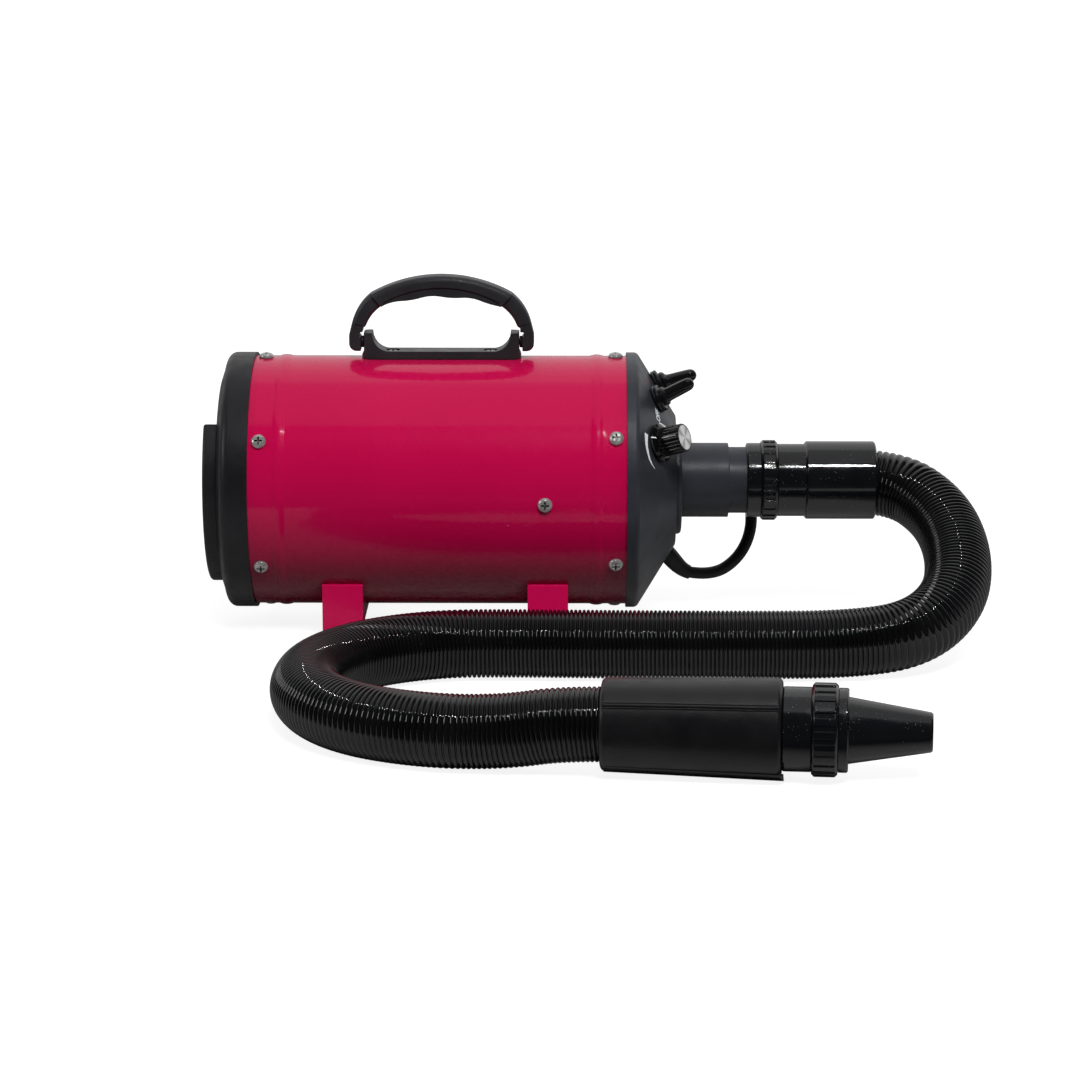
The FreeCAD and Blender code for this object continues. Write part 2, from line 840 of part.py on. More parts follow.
def outlet_spigot():
    """The flange, the stepped tube that the hose goes on, and the sleeve that snaps into the cap."""
    sleeve, snap = spigot_sleeve_radius, spigot_sleeve_radius + spigot_snap_height
    back_x = spigot_back_x
    round_middle = flange_edge_radius * (1 - math.sqrt(0.5))
    return turned([
        (spigot_start_x, spigot_bore_radius), (spigot_start_x, sleeve),
        (back_x - spigot_snap_length, sleeve), (back_x, snap),
        (back_x, sleeve), (front_face_x, sleeve), (front_face_x, flange_radius),
        (flange_end_x - flange_edge_radius, flange_radius),
        ((flange_end_x - round_middle, flange_radius - round_middle),
         (flange_end_x, flange_radius - flange_edge_radius)),
        (flange_end_x, spigot_body_radius), (spigot_step_x, spigot_body_radius),
        (spigot_step_x, spigot_end_radius), (spigot_end_x, spigot_end_radius),
        (spigot_end_x, spigot_bore_radius)])


def barrel_screws():
    """The screws round both caps and the two that hold the motor's bracket."""
    places = cap_screw_places(rear_screw_x) + cap_screw_places(front_screw_x)
    places += [(bracket_screw_x, angle) for angle in bracket_screw_angles]
    return Part.makeCompound([barrel_screw(x, angle) for x, angle in places])


# Feet

def foot(x):
    """A folded bracket: saddle, two legs, two webs and the tabs for the pads."""
    outer_saddle = barrel_radius + foot_gap
    height = -foot_fold_height - leg_bottom_z
    middle_z = (-foot_fold_height + leg_bottom_z) / 2
    body = block(foot_width, 2 * foot_half_span, height, Vector(x, 0, middle_z))
    body = softened(body, foot_fold_radius, lambda edge: edge.BoundBox.ZMin > -foot_fold_height - 0.01
                    and edge.BoundBox.YLength < 0.01)
    body = body.cut(tube(x - foot_width, x + foot_width, outer_saddle))
    hollow = block(foot_width - 2 * foot_sheet, 2 * (foot_half_span - foot_sheet), height,
                   Vector(x, 0, middle_z + foot_sheet))
    hollow = hollow.cut(tube(x - foot_width, x + foot_width, outer_saddle + foot_sheet))
    arch = block(foot_width + 2, 2 * foot_arch_half_length, 2 * foot_arch_height,
                 Vector(x, 0, leg_bottom_z))
    arch = arch.cut(tube(x - foot_width, x + foot_width, outer_saddle + foot_sheet))
    open_half = foot_half_span - foot_sheet - foot_tab_length
    bottom = block(foot_width - 2 * foot_sheet, 2 * open_half, 2 * foot_sheet, Vector(x, 0, leg_bottom_z))
    cutters = [hollow, arch, bottom]
    cutters += [Part.makeCylinder(pad_stem_radius + pad_clearance, 3 * foot_sheet,
                                  Vector(x, side * pad_place, leg_bottom_z - foot_sheet))
                for side in (-1, 1)]
    cutters += [radial_hole(x, -90 + side * foot_screw_angle, small_shank_radius + screw_hole_clearance,
                            barrel_radius - 1, barrel_radius + 4) for side in (-1, 1)]
    return body.cut(cutters)


def foot_pads():
    """Rubber bumpers pushed through the tabs."""
    top = pad_height + foot_sheet + pad_clearance
    pad = upright([(0, 0), (pad_radius - 0.8, 0), (pad_radius, 0.8), (pad_radius, pad_height),
                   (pad_stem_radius, pad_height), (pad_stem_radius, top), (pad_head_radius, top),
                   (pad_stem_radius - 0.8, top + pad_head_height), (0, top + pad_head_height)])
    return Part.makeCompound([placed(pad, Vector(x, side * pad_place, floor_z), UP)
                              for x in foot_xs for side in (-1, 1)])


def foot_screws():
    """Screws from inside the brackets up through the barrel's wall."""
    start = barrel_radius + foot_gap + foot_sheet + 0.05
    return Part.makeCompound([placed(small_screw(foot_screw_length),
                                     Vector(x, 0, 0) + radial(angle) * start, radial(angle), ALONG)
                              for x, angle in foot_screw_places])


def barrel_nuts():
    """Nuts inside the barrel, on the screws of the handle and the feet."""
    nut = hexagon(nut_radius, nut_thickness, small_shank_radius + 0.05)
    base = barrel_inner_radius - nut_gap
    places = [(x, top_angle) for x in handle_screw_xs] + foot_screw_places
    return Part.makeCompound([placed(nut, Vector(x, 0, 0) + radial(angle) * base, radial(angle) * -1, ALONG)
                              for x, angle in places])


# Handle

handle_place = Vector(handle_x, 0, barrel_radius)


def mirrored_pair(shape):
    """A shape on the outlet side of the handle's middle, and its mirror image."""
    other = shape.mirror(Vector(), ALONG)
    pair = Part.makeCompound([shape, other])
    pair.translate(handle_place)
    return pair


def face_edges(half_width):
    """A test for the edges that lie in either side face of a slab."""
    def on_side(edge):
        box = edge.BoundBox
        return box.YLength < 0.001 and abs(abs(box.YMin) - half_width) < 0.001
    return on_side


def handle_base():
    """The deck with its horns, counterbores and pin holes."""
    horn_inner = horn_outer - horn_top_width
    body = slab([
        (-base_half_length, -base_skirt_depth), (base_half_length, -base_skirt_depth),
        (base_half_length, base_edge_height), (horn_outer, deck_height), (horn_outer, horn_height),
        (horn_inner, horn_height),
        ((horn_curve_x, horn_curve_z), (horn_foot, deck_height)), (-horn_foot, deck_height),
        ((-horn_curve_x, horn_curve_z), (-horn_inner, horn_height)), (-horn_outer, horn_height),
        (-horn_outer, deck_height), (-base_half_length, base_edge_height)], base_half_width)
    body = body.common(rounded_plan(base_half_length, base_half_width, base_corner_radius))
    body.translate(handle_place)
    cutters = [tube(handle_x - 2 * base_half_length, handle_x + 2 * base_half_length,
                    barrel_radius + base_gap)]
    for x in handle_screw_xs:
        cutters.append(Part.makeCylinder(counterbore_radius, counterbore_depth + 1,
                                         Vector(x, 0, handle_screw_z)))
        cutters.append(Part.makeCylinder(small_shank_radius + screw_hole_clearance, 20,
                                         Vector(x, 0, barrel_radius - base_skirt_depth - 1)))
    for side in (-1, 1):
        start = handle_place + Vector(side * (horn_outer - pin_in_horn), 0, pivot_height)
        cutters.append(Part.makeCylinder(pin_radius + pin_seat_clearance, pin_in_horn + 2, start,
                                         ALONG * side))
    return body.cut(cutters)


def rounded_plan(half_length, half_width, corner):
    """An upright block with rounded corners, to trim a base with."""
    body = block(2 * half_length, 2 * half_width, 2 * half_length, Vector())
    return softened(body, corner, lambda edge: edge.BoundBox.ZLength > half_length)


handle_screw_z = barrel_radius + deck_height - counterbore_depth


def handle_screws():
    """The two screws in the deck's counterbores."""
    return Part.makeCompound([placed(small_screw(handle_screw_length), Vector(x, 0, handle_screw_z), UP)
                              for x in handle_screw_xs])


def handle_pins():
    """The pivots, pressed into the horns and running in the lugs."""
    length = pin_in_horn + lug_inner - horn_outer + pin_in_lug
    pin = Part.makeCylinder(pin_radius, length, Vector(horn_outer - pin_in_horn, 0, pivot_height), ALONG)
    return mirrored_pair(pin)


def handle_lugs():
    """The ends of the handle that turn on the pins."""
    corner = lug_corner_radius * (1 - math.sqrt(0.5))
    lug = slab([
        (lug_inner, lug_bottom), (lug_outer - lug_corner_radius, lug_bottom),
        ((lug_outer - corner, lug_bottom + corner), (lug_outer, lug_bottom + lug_corner_radius)),
        (lug_outer, pivot_height + lug_corner_radius), lug_top_outer, lug_top_inner,
        (lug_overhang_inner, lug_shoulder_height), (lug_overhang_inner, lug_window_top),
        (lug_window_outer, lug_window_top), (lug_window_outer, lug_window_bottom),
        (lug_inner, lug_window_bottom)], lug_half_width)
    lug = softened(lug, lug_edge_radius, lambda edge: face_edges(lug_half_width)(edge)
                   and edge.BoundBox.XMax > lug_outer - 3 and edge.BoundBox.ZMin > lug_bottom - 1
                   and edge.BoundBox.XMin > lug_window_outer)
    boss_length = lug_inner - horn_outer - lug_boss_gap
    boss = Part.makeCylinder(lug_boss_radius, boss_length + 1,
                             Vector(lug_inner - boss_length, 0, pivot_height), ALONG)
    hole = Part.makeCylinder(pin_radius + pin_clearance, boss_length + pin_in_lug + lug_boss_gap + 0.1,
                             Vector(lug_inner - boss_length - 0.05, 0, pivot_height), ALONG)
    return mirrored_pair(fused([lug, boss]).cut(hole))


def handle_arms():
    """The curved arms between the lugs and the grip."""
    arm = slab([lug_top_inner, lug_top_outer, (arm_outer_middle, grip_end_outer), grip_end_inner,
                (arm_inner_middle, lug_top_inner)], arm_half_width)
    keep = face_edges(arm_half_width)
    arm = softened(arm, arm_edge_radius, lambda edge: keep(edge) and edge.Curve.TypeId == "Part::GeomCircle")
    return mirrored_pair(arm)


def handle_grip():
    """The padded grip, with shallow finger waves below."""
    step = 2 * grip_end_inner[0] / grip_wave_count
    drop = grip_under_height - grip_end_inner[1]
    bulge = (grip_end_inner[0] ** 2 + drop ** 2) / (2 * drop)

    def under(x):
        return grip_under_height - bulge + math.sqrt(bulge ** 2 - x ** 2)

    outline = [(-grip_end_inner[0], grip_end_inner[1]), (-grip_end_outer[0], grip_end_outer[1]),
               ((0, grip_top_height), grip_end_outer), grip_end_inner]
    for k in range(grip_wave_count):
        end = grip_end_inner[0] - step * (k + 1)
        middle = end + step / 2
        outline.append(((middle, under(middle) - grip_wave_depth * (-1) ** k), (end, under(end))))
    body = slab(outline, grip_half_width)
    keep = face_edges(grip_half_width)
    body = softened(body, grip_edge_radius, lambda edge: keep(edge)
                    and edge.BoundBox.ZMax > grip_end_outer[1] + 1
                    and edge.Curve.TypeId == "Part::GeomCircle" and edge.BoundBox.XLength > 2 * step)
    half, end_z = grip_panel_half_length, grip_panel_end_height
    panel = slab([(-half, 0), (-half, end_z), ((0, grip_panel_top_height), (half, end_z)), (half, 0)],
                 2 * grip_half_width)
    core = block(4 * half, 2 * (grip_half_width - grip_panel_depth), 4 * half, Vector())
    body = body.cut(panel.cut(core))
    body.translate(handle_place)
    return body


# Speed knob

def speed_knob():
    """The skirt, the fluted body, and the recess that hides the nut."""
    skirt_top = knob_gap + knob_skirt_height
    body_bottom = skirt_top + knob_bevel_height
    top_radius = knob_body_radius - knob_body_draft
    body = upright([(0, knob_gap), (knob_skirt_radius, knob_gap), (knob_skirt_radius, skirt_top),
                    (knob_body_radius + 1, body_bottom), (knob_body_radius, body_bottom),
                    (top_radius, knob_height - 0.6), (top_radius - 0.6, knob_height), (0, knob_height)])
    flute = Part.makeCylinder(knob_flute_radius, knob_height,
                              Vector(knob_body_radius + knob_flute_radius - knob_flute_depth, 0,
                                     body_bottom + 0.8))
    cutters = []
    for k in range(knob_flute_count):
        copy = flute.copy()
        copy.rotate(Vector(), UP, 360 / knob_flute_count * k)
        cutters.append(copy)
    cutters.append(Part.makeCylinder(knob_recess_radius, knob_recess_height, Vector(0, 0, knob_gap - 1)))
    cutters.append(Part.makeCylinder(shaft_radius + shaft_clearance, shaft_top))
    cutters.append(Part.makeCylinder(knob_disc_radius, 2, Vector(0, 0, knob_height - knob_disc_thickness)))
    return on_cone(body.cut(cutters), knob_station, knob_angle)


def knob_disc():
    """The spun metal disc in the knob's end."""
    disc = Part.makeCylinder(knob_disc_radius - 0.03, knob_disc_thickness - 0.05,
                             Vector(0, 0, knob_height - knob_disc_thickness))
    return on_cone(disc, knob_station, knob_angle)


def potentiometer_shaft():
    """The shaft, from inside the potentiometer to inside the knob."""
    shaft = Part.makeCylinder(shaft_radius, shaft_top + cap_wall + 4, Vector(0, 0, -cap_wall - 4))
    return on_cone(shaft, knob_station, knob_angle)


def potentiometer():
    """The round body inside the cone and its bushing through the wall."""
    body = Part.makeCylinder(potentiometer_radius, potentiometer_depth,
                             Vector(0, 0, -cap_wall - potentiometer_depth - panel_gap))
    bushing = Part.makeCylinder(bushing_radius, cap_wall + bushing_top + 1, Vector(0, 0, -cap_wall - 1))
    bore = Part.makeCylinder(shaft_radius + running_clearance, cap_wall + bushing_top + 5,
                             Vector(0, 0, -cap_wall - 4.05))
    return on_cone(fused([body, bushing]).cut(bore), knob_station, knob_angle)


# Toggle switches

def toggle_switches():
    """The two switch bodies with their bushings."""
    body = block(toggle_body_length, toggle_body_width, toggle_body_depth,
                 Vector(0, 0, -cap_wall - panel_gap - toggle_body_depth / 2))
    bushing = Part.makeCylinder(toggle_bushing_radius, cap_wall + toggle_bushing_top + 1,
                                Vector(0, 0, -cap_wall - 1))
    bore = Part.makeCylinder(toggle_bore_radius, toggle_bore_depth + toggle_bushing_top + 1,
                             Vector(0, 0, -toggle_bore_depth))
    reach = toggle_bore_radius + toggle_pin_seat
    pin = Part.makeCylinder(toggle_pin_radius, 2 * reach, Vector(0, -reach, 0), Vector(0, 1, 0))
    switch = fused([fused([body, bushing]).cut(bore), pin])
    return Part.makeCompound([on_cone(switch, toggle_station, angle)
                              for angle in (front_toggle_angle, rear_toggle_angle)])


def panel_nuts():
    """The nut that clamps the potentiometer to the cone, and the two under the boots."""
    small = hexagon(panel_nut_radius, panel_nut_thickness, bushing_radius + 0.02)
    large = hexagon(toggle_nut_radius, toggle_nut_thickness, toggle_bushing_radius + 0.02)
    return Part.makeCompound([on_cone(small, knob_station, knob_angle)]
                             + [on_cone(large, toggle_station, angle)
                                for angle in (front_toggle_angle, rear_toggle_angle)])


def toggle_boot(angle):
    """The stepped rubber base round a toggle's bushing; its top is a ball face about the pivot."""
    line_top = boot_flange_height + boot_line_width
    cavity_top = toggle_nut_thickness + 0.3
    mean_radius = (boot_ring_radius + boot_bore_radius) / 2
    ring_height = ball_height(boot_dome_radius, boot_ring_radius)
    boot = upright([
        (boot_cavity_radius, 0), (boot_flange_radius, 0), (boot_flange_radius, boot_flange_height),
        (boot_flange_radius - boot_line_depth, boot_flange_height),
        (boot_flange_radius - boot_line_depth, line_top), (boot_step_radius, line_top),
        (boot_step_radius, boot_step_height - 0.4), (boot_step_radius - 0.4, boot_step_height),
        (boot_neck_radius, boot_step_height), (boot_neck_radius, boot_neck_height),
        (boot_ring_radius, boot_neck_height), (boot_ring_radius, ring_height),
        ((mean_radius, ball_height(boot_dome_radius, mean_radius)),
         (boot_bore_radius, ball_height(boot_dome_radius, boot_bore_radius))),
        (boot_bore_radius, cavity_top), (boot_cavity_radius, cavity_top)])
    return on_cone(boot, toggle_station, angle)


def ball_height(ball_radius, radius):
    """Height of a ball face about the pivot, at a distance from the axis."""
    return math.sqrt(ball_radius ** 2 - radius ** 2)


def tilted(shape, tilt):
    """A toggle's moving piece, leaned up or down the slope about the ball's centre."""
    copy = shape.copy()
    copy.rotate(Vector(), Vector(0, 1, 0), tilt)
    return copy


def lever_shape():
    """The metal lever with its ball, along Z."""
    ball = Part.makeSphere(toggle_ball_radius, Vector(), UP, -45, 45, 360)
    stem = upright([(0, -toggle_lever_bottom), (toggle_lever_radius, -toggle_lever_bottom),
                    (toggle_lever_radius, 4), (toggle_lever_tip_radius, toggle_lever_top),
                    (0, toggle_lever_top)])
    return fused([ball, stem])


def toggle_lever(angle, tilt):
    """The metal lever in its place, its ball bored for the pin."""
    bore = Part.makeCylinder(toggle_pin_radius + toggle_pin_clearance, 4 * toggle_ball_radius,
                             Vector(0, -2 * toggle_ball_radius, 0), Vector(0, 1, 0))
    return on_cone(tilted(lever_shape().cut(bore), tilt), toggle_station, angle)


def toggle_finger(angle, tilt):
    """The rubber finger of the boot, which moves with the lever."""
    straight_top = boot_finger_top - boot_finger_tip_radius
    bend = boot_finger_tip_radius * math.sqrt(0.5)
    seat = boot_dome_radius + boot_finger_gap
    half = boot_finger_radius / 2
    rim = (boot_finger_radius, ball_height(seat, boot_finger_radius))
    finger = upright([
        (0, seat), ((half, ball_height(seat, half)), rim), (boot_finger_tip_radius, straight_top),
        ((bend, straight_top + bend), (0, boot_finger_top))])
    return on_cone(tilted(finger.cut(lever_shape()), tilt), toggle_station, angle)


# Motor and fan

def ring_of_holes(count, radius_in, radius_out, width, start_x, end_x):
    """Cutters spaced round the axis, each a radial slot."""
    holes = []
    for k in range(count):
        hole = block(end_x - start_x, width, radius_out - radius_in,
                     Vector((start_x + end_x) / 2, 0, (radius_in + radius_out) / 2))
        hole.rotate(Vector(), ALONG, 360 / count * (k + 0.5))
        holes.append(hole)
    return holes


def fan_housing():
    """The sheet can round the impeller, with the hub for the first bearing."""
    shell = tube(can_x, motor_x, can_radius)
    shell = shell.cut(tube(can_x + can_wall, motor_x - can_wall, can_radius - can_wall))
    hub = tube(motor_x - bearing_length - can_wall, motor_x - can_wall / 2,
               bearing_radius + bearing_hub_wall)
    body = fused([shell.cut(tube(can_x - 1, can_x + 2 * can_wall, can_inlet_radius)), hub])
    cutters = [tube(motor_x - bearing_length, motor_x + 1, bearing_radius),
               tube(motor_x - bearing_length - 2 * can_wall, motor_x, motor_shaft_radius + 1)]
    cutters += ring_of_holes(can_outlet_count, can_outlet_inner, can_outlet_outer, can_outlet_width,
                             motor_x - 2 * can_wall, motor_x + can_wall)
    return body.cut(cutters)


def impeller():
    """Two plates with backward-curved blades between them, on a hub."""
    start = can_x + can_wall + impeller_gap
    end = start + impeller_width
    back = tube(end - impeller_plate, end, impeller_radius, motor_shaft_radius + shaft_clearance)
    front = tube(start, start + impeller_plate, impeller_radius, impeller_eye_radius)
    hub = tube(start, end + 8, impeller_hub_radius, motor_shaft_radius + shaft_clearance)
    pieces = [back, front, hub]
    for k in range(impeller_blade_count):
        blade = impeller_blade(start + impeller_plate / 2, end - impeller_plate / 2)
        blade.rotate(Vector(), ALONG, 360 / impeller_blade_count * k)
        pieces.append(blade)
    return fused(pieces)


def impeller_blade(start_x, end_x):
    """One blade: a thin curved strip from the eye to the rim."""
    inner, outer = impeller_eye_radius - 2, impeller_radius - 0.5
    middle_radius = (inner + outer) / 2
    sweep = math.radians(impeller_blade_sweep)

    def at(radius, turn):
        return Vector(start_x, radius * math.sin(turn), radius * math.cos(turn))

    half = impeller_blade_wall / 2
    ahead = Part.Arc(at(inner + half, 0), at(middle_radius + half, sweep * 0.42), at(outer, sweep))
    behind = Part.Arc(at(inner - half, 0.03), at(middle_radius - half, sweep * 0.42 + 0.02),
                      at(outer, sweep + 0.03))
    edges = [ahead.toShape(), Part.LineSegment(at(outer, sweep), at(outer, sweep + 0.03)).toShape(),
             behind.toShape(), Part.LineSegment(at(inner + half, 0), at(inner - half, 0.03)).toShape()]
    return Part.Face(Part.Wire(Part.__sortEdges__(edges))).extrude(Vector(end_x - start_x, 0, 0))


def motor_shaft():
    """The shaft through the fan, the armature and both bearings."""
    return tube(can_x + can_wall + impeller_gap - 2, motor_end_x - motor_frame_wall, motor_shaft_radius)


def armature():
    """The wound core and the commutator on the shaft."""
    start = motor_x + armature_start
    bore = motor_shaft_radius + shaft_clearance
    core = tube(start, start + armature_length, armature_radius, bore)
    slot = Part.makeCylinder(armature_slot_radius, armature_length + 2,
                             Vector(start - 1, 0, armature_radius), ALONG)
    slots = []
    for k in range(armature_slot_count):
        copy = slot.copy()
        copy.rotate(Vector(), ALONG, 360 / armature_slot_count * k)
        slots.append(copy)
    neck_start = start + armature_length
    neck = tube(neck_start, neck_start + commutator_gap, motor_shaft_radius + 3, bore)
    commutator = tube(neck_start + commutator_gap, neck_start + commutator_gap + commutator_length,
                      commutator_radius, bore)
    return fused([core.cut(slots), neck, commutator])


def stator():
    """The field core inside the motor's frame."""
    start = motor_x + armature_start + (armature_length - stator_length) / 2
    outer = motor_frame_radius - motor_frame_wall - 0.05
    return tube(start, start + stator_length, outer, stator_inner_radius)


def motor_frame():
    """The motor's shell with its end plate and cooling windows."""
    inner = motor_frame_radius - motor_frame_wall
    shell = tube(motor_x, motor_end_x, motor_frame_radius, inner)
    plate = tube(motor_end_x - motor_frame_wall, motor_end_x, inner + 0.5, motor_shaft_radius + 1)
    hub = tube(motor_end_x - motor_frame_wall - bearing_length, motor_end_x - motor_frame_wall / 2,
               bearing_radius + bearing_hub_wall, bearing_radius)
    body = fused([shell, plate, hub])
    windows = []
    for k in range(motor_window_count):
        window = block(motor_window_length, motor_window_width, 2 * motor_frame_wall + 4,
                       Vector(motor_end_x - bearing_length - motor_window_length, 0, motor_frame_radius))
        window.rotate(Vector(), ALONG, 360 / motor_window_count * k + 45)
        windows.append(window)
    vents = ring_of_holes(can_outlet_count, bearing_radius + bearing_hub_wall + 4, inner - 5, 9,
                          motor_end_x - 2 * motor_frame_wall, motor_end_x + 1)
    return body.cut(windows + vents)


def motor_bearings():
    """One bearing in the can's hub and one in the end plate's."""
    first = tube(motor_x - bearing_length, motor_x, bearing_radius, motor_shaft_radius + running_clearance)
    last_x = motor_end_x - motor_frame_wall - bearing_length
    last = tube(last_x, last_x + bearing_length, bearing_radius, motor_shaft_radius + running_clearance)
    return Part.makeCompound([first, last])


def brush_holders():
    """Carbon brushes in their holders, one each side of the commutator."""
    x = motor_x + armature_start + armature_length + commutator_gap + commutator_length / 2
    inner, outer = commutator_radius + 0.3, motor_frame_radius - motor_frame_wall - 0.1
    holders = []
    for side in (-1, 1):
        holder = block(brush_length, outer - inner, brush_width, Vector(x, side * (inner + outer) / 2, 0))
        core = tube(x - brush_length, x + brush_length, inner)
        shell = tube(x - brush_length, x + brush_length, outer)
        holders.append(holder.cut(core).common(shell))
    return Part.makeCompound(holders)


def rear_mount_ring():
    """The rubber ring between the can and the rear cap's duct."""
    start = can_x + 2
    return tube(start, start + mount_ring_length, duct_inner_radius - mount_clearance,
                can_radius + mount_clearance)


def motor_bracket():
    """The sheet ring that carries the motor's end."""
    outer = barrel_inner_radius - bracket_clearance
    hub_inner = motor_frame_radius + bracket_rubber_wall
    flange = tube(bracket_x, bracket_x + bracket_flange_length, outer, outer - bracket_sheet)
    web = tube(bracket_x, bracket_x + bracket_sheet, outer, hub_inner)
    hub = tube(bracket_x - bracket_hub_length, bracket_x + bracket_sheet, hub_inner + bracket_sheet, hub_inner)
    body = fused([flange, web, hub] + board_pillars())
    openings = [tube(bracket_x - 1, bracket_x + 2 * bracket_sheet, bracket_opening_outer,
                     bracket_opening_inner)]
    spokes = []
    for k in range(bracket_opening_count // 2):
        spoke = block(6 * bracket_sheet, 2 * barrel_radius, bracket_spoke_width, Vector(bracket_x, 0, 0))
        spoke.rotate(Vector(bracket_x, 0, 0), ALONG, 360 / bracket_opening_count * k)
        spokes.append(spoke)
    openings = [Part.makeCompound(openings).cut(spokes + board_pillars(2.5))]
    notch = block(bracket_flange_length, 2 * bracket_notch_half_width, 12,
                  Vector(bracket_x + bracket_sheet + bracket_flange_length / 2 + 0.05, 0,
                         -outer + bracket_sheet))
    pilot = screw_shank_radius + screw_pilot_clearance
    holes = [radial_hole(bracket_screw_x, angle, pilot, outer - 4, outer + 1)
             for angle in bracket_screw_angles]
    return body.cut(openings + [notch] + holes)


def board_pillars(extra=0.0):
    """Pillars on the bracket's web that hold the control board."""
    radius = (board_inner_radius + board_outer_radius) / 2
    pillars = []
    for angle in (board_from_angle + 8, board_to_angle - 8):
        base = Vector(bracket_x, 0, 0) + radial(angle) * radius
        pillars.append(Part.makeCylinder(board_pillar_radius + extra, board_pillar_length + bracket_sheet,
                                         base, ALONG))
    return pillars


def front_mount_ring():
    """The rubber ring between the motor's end and the bracket's hub."""
    return tube(bracket_x - bracket_hub_length, bracket_x, motor_frame_radius + bracket_rubber_wall - 0.15,
                motor_frame_radius + 0.15)


def noise_liner():
    """The foam round the motor, with pockets for the nuts."""
    start = rear_wall_x + duct_length + liner_start_gap
    end = bracket_x - liner_end_gap
    outer = barrel_inner_radius - liner_clearance
    body = tube(start, end, outer, outer - liner_thickness)
    places = [(x, top_angle) for x in handle_screw_xs] + foot_screw_places
    return body.cut([radial_hole(x, angle, liner_pocket_radius, outer - liner_thickness - 2, outer + 2)
                     for x, angle in places])


# Heater and control board

def heater_frame():
    """The mica tube on the spigot's sleeve, with a cross of two blades inside."""
    body = tube(heater_start_x, heater_end_x, heater_radius, heater_radius - heater_wall)
    coil_reach = heater_coil_radius - heater_wire_radius - mica_clearance
    tube_reach = heater_radius - heater_wall / 2
    start, end = heater_start_x + 1, spigot_start_x - heater_gap
    blades = []
    for turn in (0, 90):
        for first, last, reach in ((start, end, coil_reach), (start, start + mica_end_length, tube_reach),
                                   (end - mica_end_length, end, tube_reach)):
            blade = block(last - first, mica_thickness, 2 * reach, Vector((first + last) / 2, 0, 0))
            blade.rotate(Vector(), ALONG, turn)
            blades.append(blade)
    return fused([body] + blades)


def heater_coil():
    """The resistance wire, wound over the four edges of the cross."""
    cut_in = arc_share * math.sqrt(2) * (math.sqrt(2) - 1)
    corner_radius = heater_coil_radius / (1 - cut_in)
    route = []
    for k in range(4 * heater_turns + 1):
        x = heater_start_x + heater_coil_start + heater_pitch * k / 4
        route.append(Vector(x, 0, 0) + radial(90 * k) * corner_radius)
    route[0] = route[1] + (route[0] - route[1]) * heater_end_share
    route[-1] = route[-2] + (route[-1] - route[-2]) * heater_end_share
    return swept("heater_coil", route, heater_wire_radius)


def thermal_cutout():
    """The thermostat button on the heater's tube."""
    x = heater_start_x + heater_length / 2
    flat = heater_radius - 0.4
    body = Part.makeCylinder(cutout_radius, cutout_height + 0.4, Vector(x, 0, flat))
    return body.cut(tube(heater_start_x, heater_end_x, heater_radius + 0.02))


def control_board():
    """The crescent-shaped board with its heat sink and choke."""
    board_x = bracket_x + bracket_sheet + board_pillar_length
    ring = tube(board_x, board_x + board_thickness, board_outer_radius, board_inner_radius)
    span = board_to_angle - board_from_angle
    reach = 2 * board_outer_radius
    corners = [Vector(board_x - 1, 0, 0)]
    corners += [Vector(board_x - 1, 0, 0) + radial(board_from_angle + span * k / 2) * reach for k in range(3)]
    sector = Part.Face(Part.makePolygon(corners + corners[:1])).extrude(ALONG * (board_thickness + 2))
    board = ring.common(sector)
    middle = (board_inner_radius + board_outer_radius) / 2
    top_x = board_x + board_thickness
    sink_place = radial(board_from_angle + span * 0.4) * middle
    sink = block(heatsink_height, heatsink_size, heatsink_size / 2,
                 Vector(top_x + heatsink_height / 2, 0, 0) + sink_place)
    choke_place = Vector(top_x, 0, 0) + radial(board_from_angle + span * 0.68) * middle
    choke = Part.makeCylinder(choke_radius, choke_height, choke_place, ALONG)
    return fused([board, sink, choke])


# Hose fittings at the machine

def ribbed_ring(start_x, length):
    """A lock ring about the axis, with chamfers and grip grooves."""
    end_x = start_x + length
    inner = coupler_tube_radius + ring_clearance
    body = turned([(start_x, inner), (start_x, ring_radius - ring_chamfer),
                   (start_x + ring_chamfer, ring_radius), (end_x - ring_chamfer, ring_radius),
                   (end_x, ring_radius - ring_chamfer), (end_x, inner)])
    grooves = []
    for k in range(ring_rib_count):
        groove = block(length - 2 * ring_chamfer, ring_groove_width, 2 * ring_groove_depth,
                       Vector((start_x + end_x) / 2, 0, ring_radius))
        groove.rotate(Vector(), ALONG, 360 / ring_rib_count * (k + 0.5))
        grooves.append(groove)
    return body.cut(grooves)


def hose_coupler():
    """The collar that slides over the spigot's end and carries the lock ring."""
    bore = spigot_end_radius + coupler_clearance
    return turned([(coupler_x, bore), (coupler_x, coupler_collar_radius - coupler_collar_edge),
                   (coupler_x + coupler_collar_edge, coupler_collar_radius),
                   (ring_x, coupler_collar_radius), (ring_x, coupler_tube_radius),
                   (neck_x, coupler_tube_radius), (neck_x, bore)])


def outlet_lock_ring():
    """The ribbed ring between the coupler's collar and the neck."""
    return ribbed_ring(ring_x + ring_end_gap, ring_length - 2 * ring_end_gap)


def hose_cuff():
    """The neck and the wider cuff that holds the hose's end."""
    hose_hole = hose_radius + hose_clearance
    stop_x = hose_start_x - hose_in_cuff - hose_end_gap
    return turned([(neck_x, spigot_bore_radius), (neck_x, neck_radius), (cuff_x, neck_radius),
                   (cuff_x + 0.01, cuff_radius - cuff_edge), (cuff_x + cuff_edge, cuff_radius),
                   (hose_start_x - cuff_edge, cuff_radius), (hose_start_x, cuff_radius - cuff_edge),
                   (hose_start_x, hose_hole + cuff_flare),
                   (hose_start_x - cuff_flare_length, hose_hole), (stop_x, hose_hole),
                   (stop_x, spigot_bore_radius)])


# Free routes: the hose and the mains cord

arc_share = 0.45


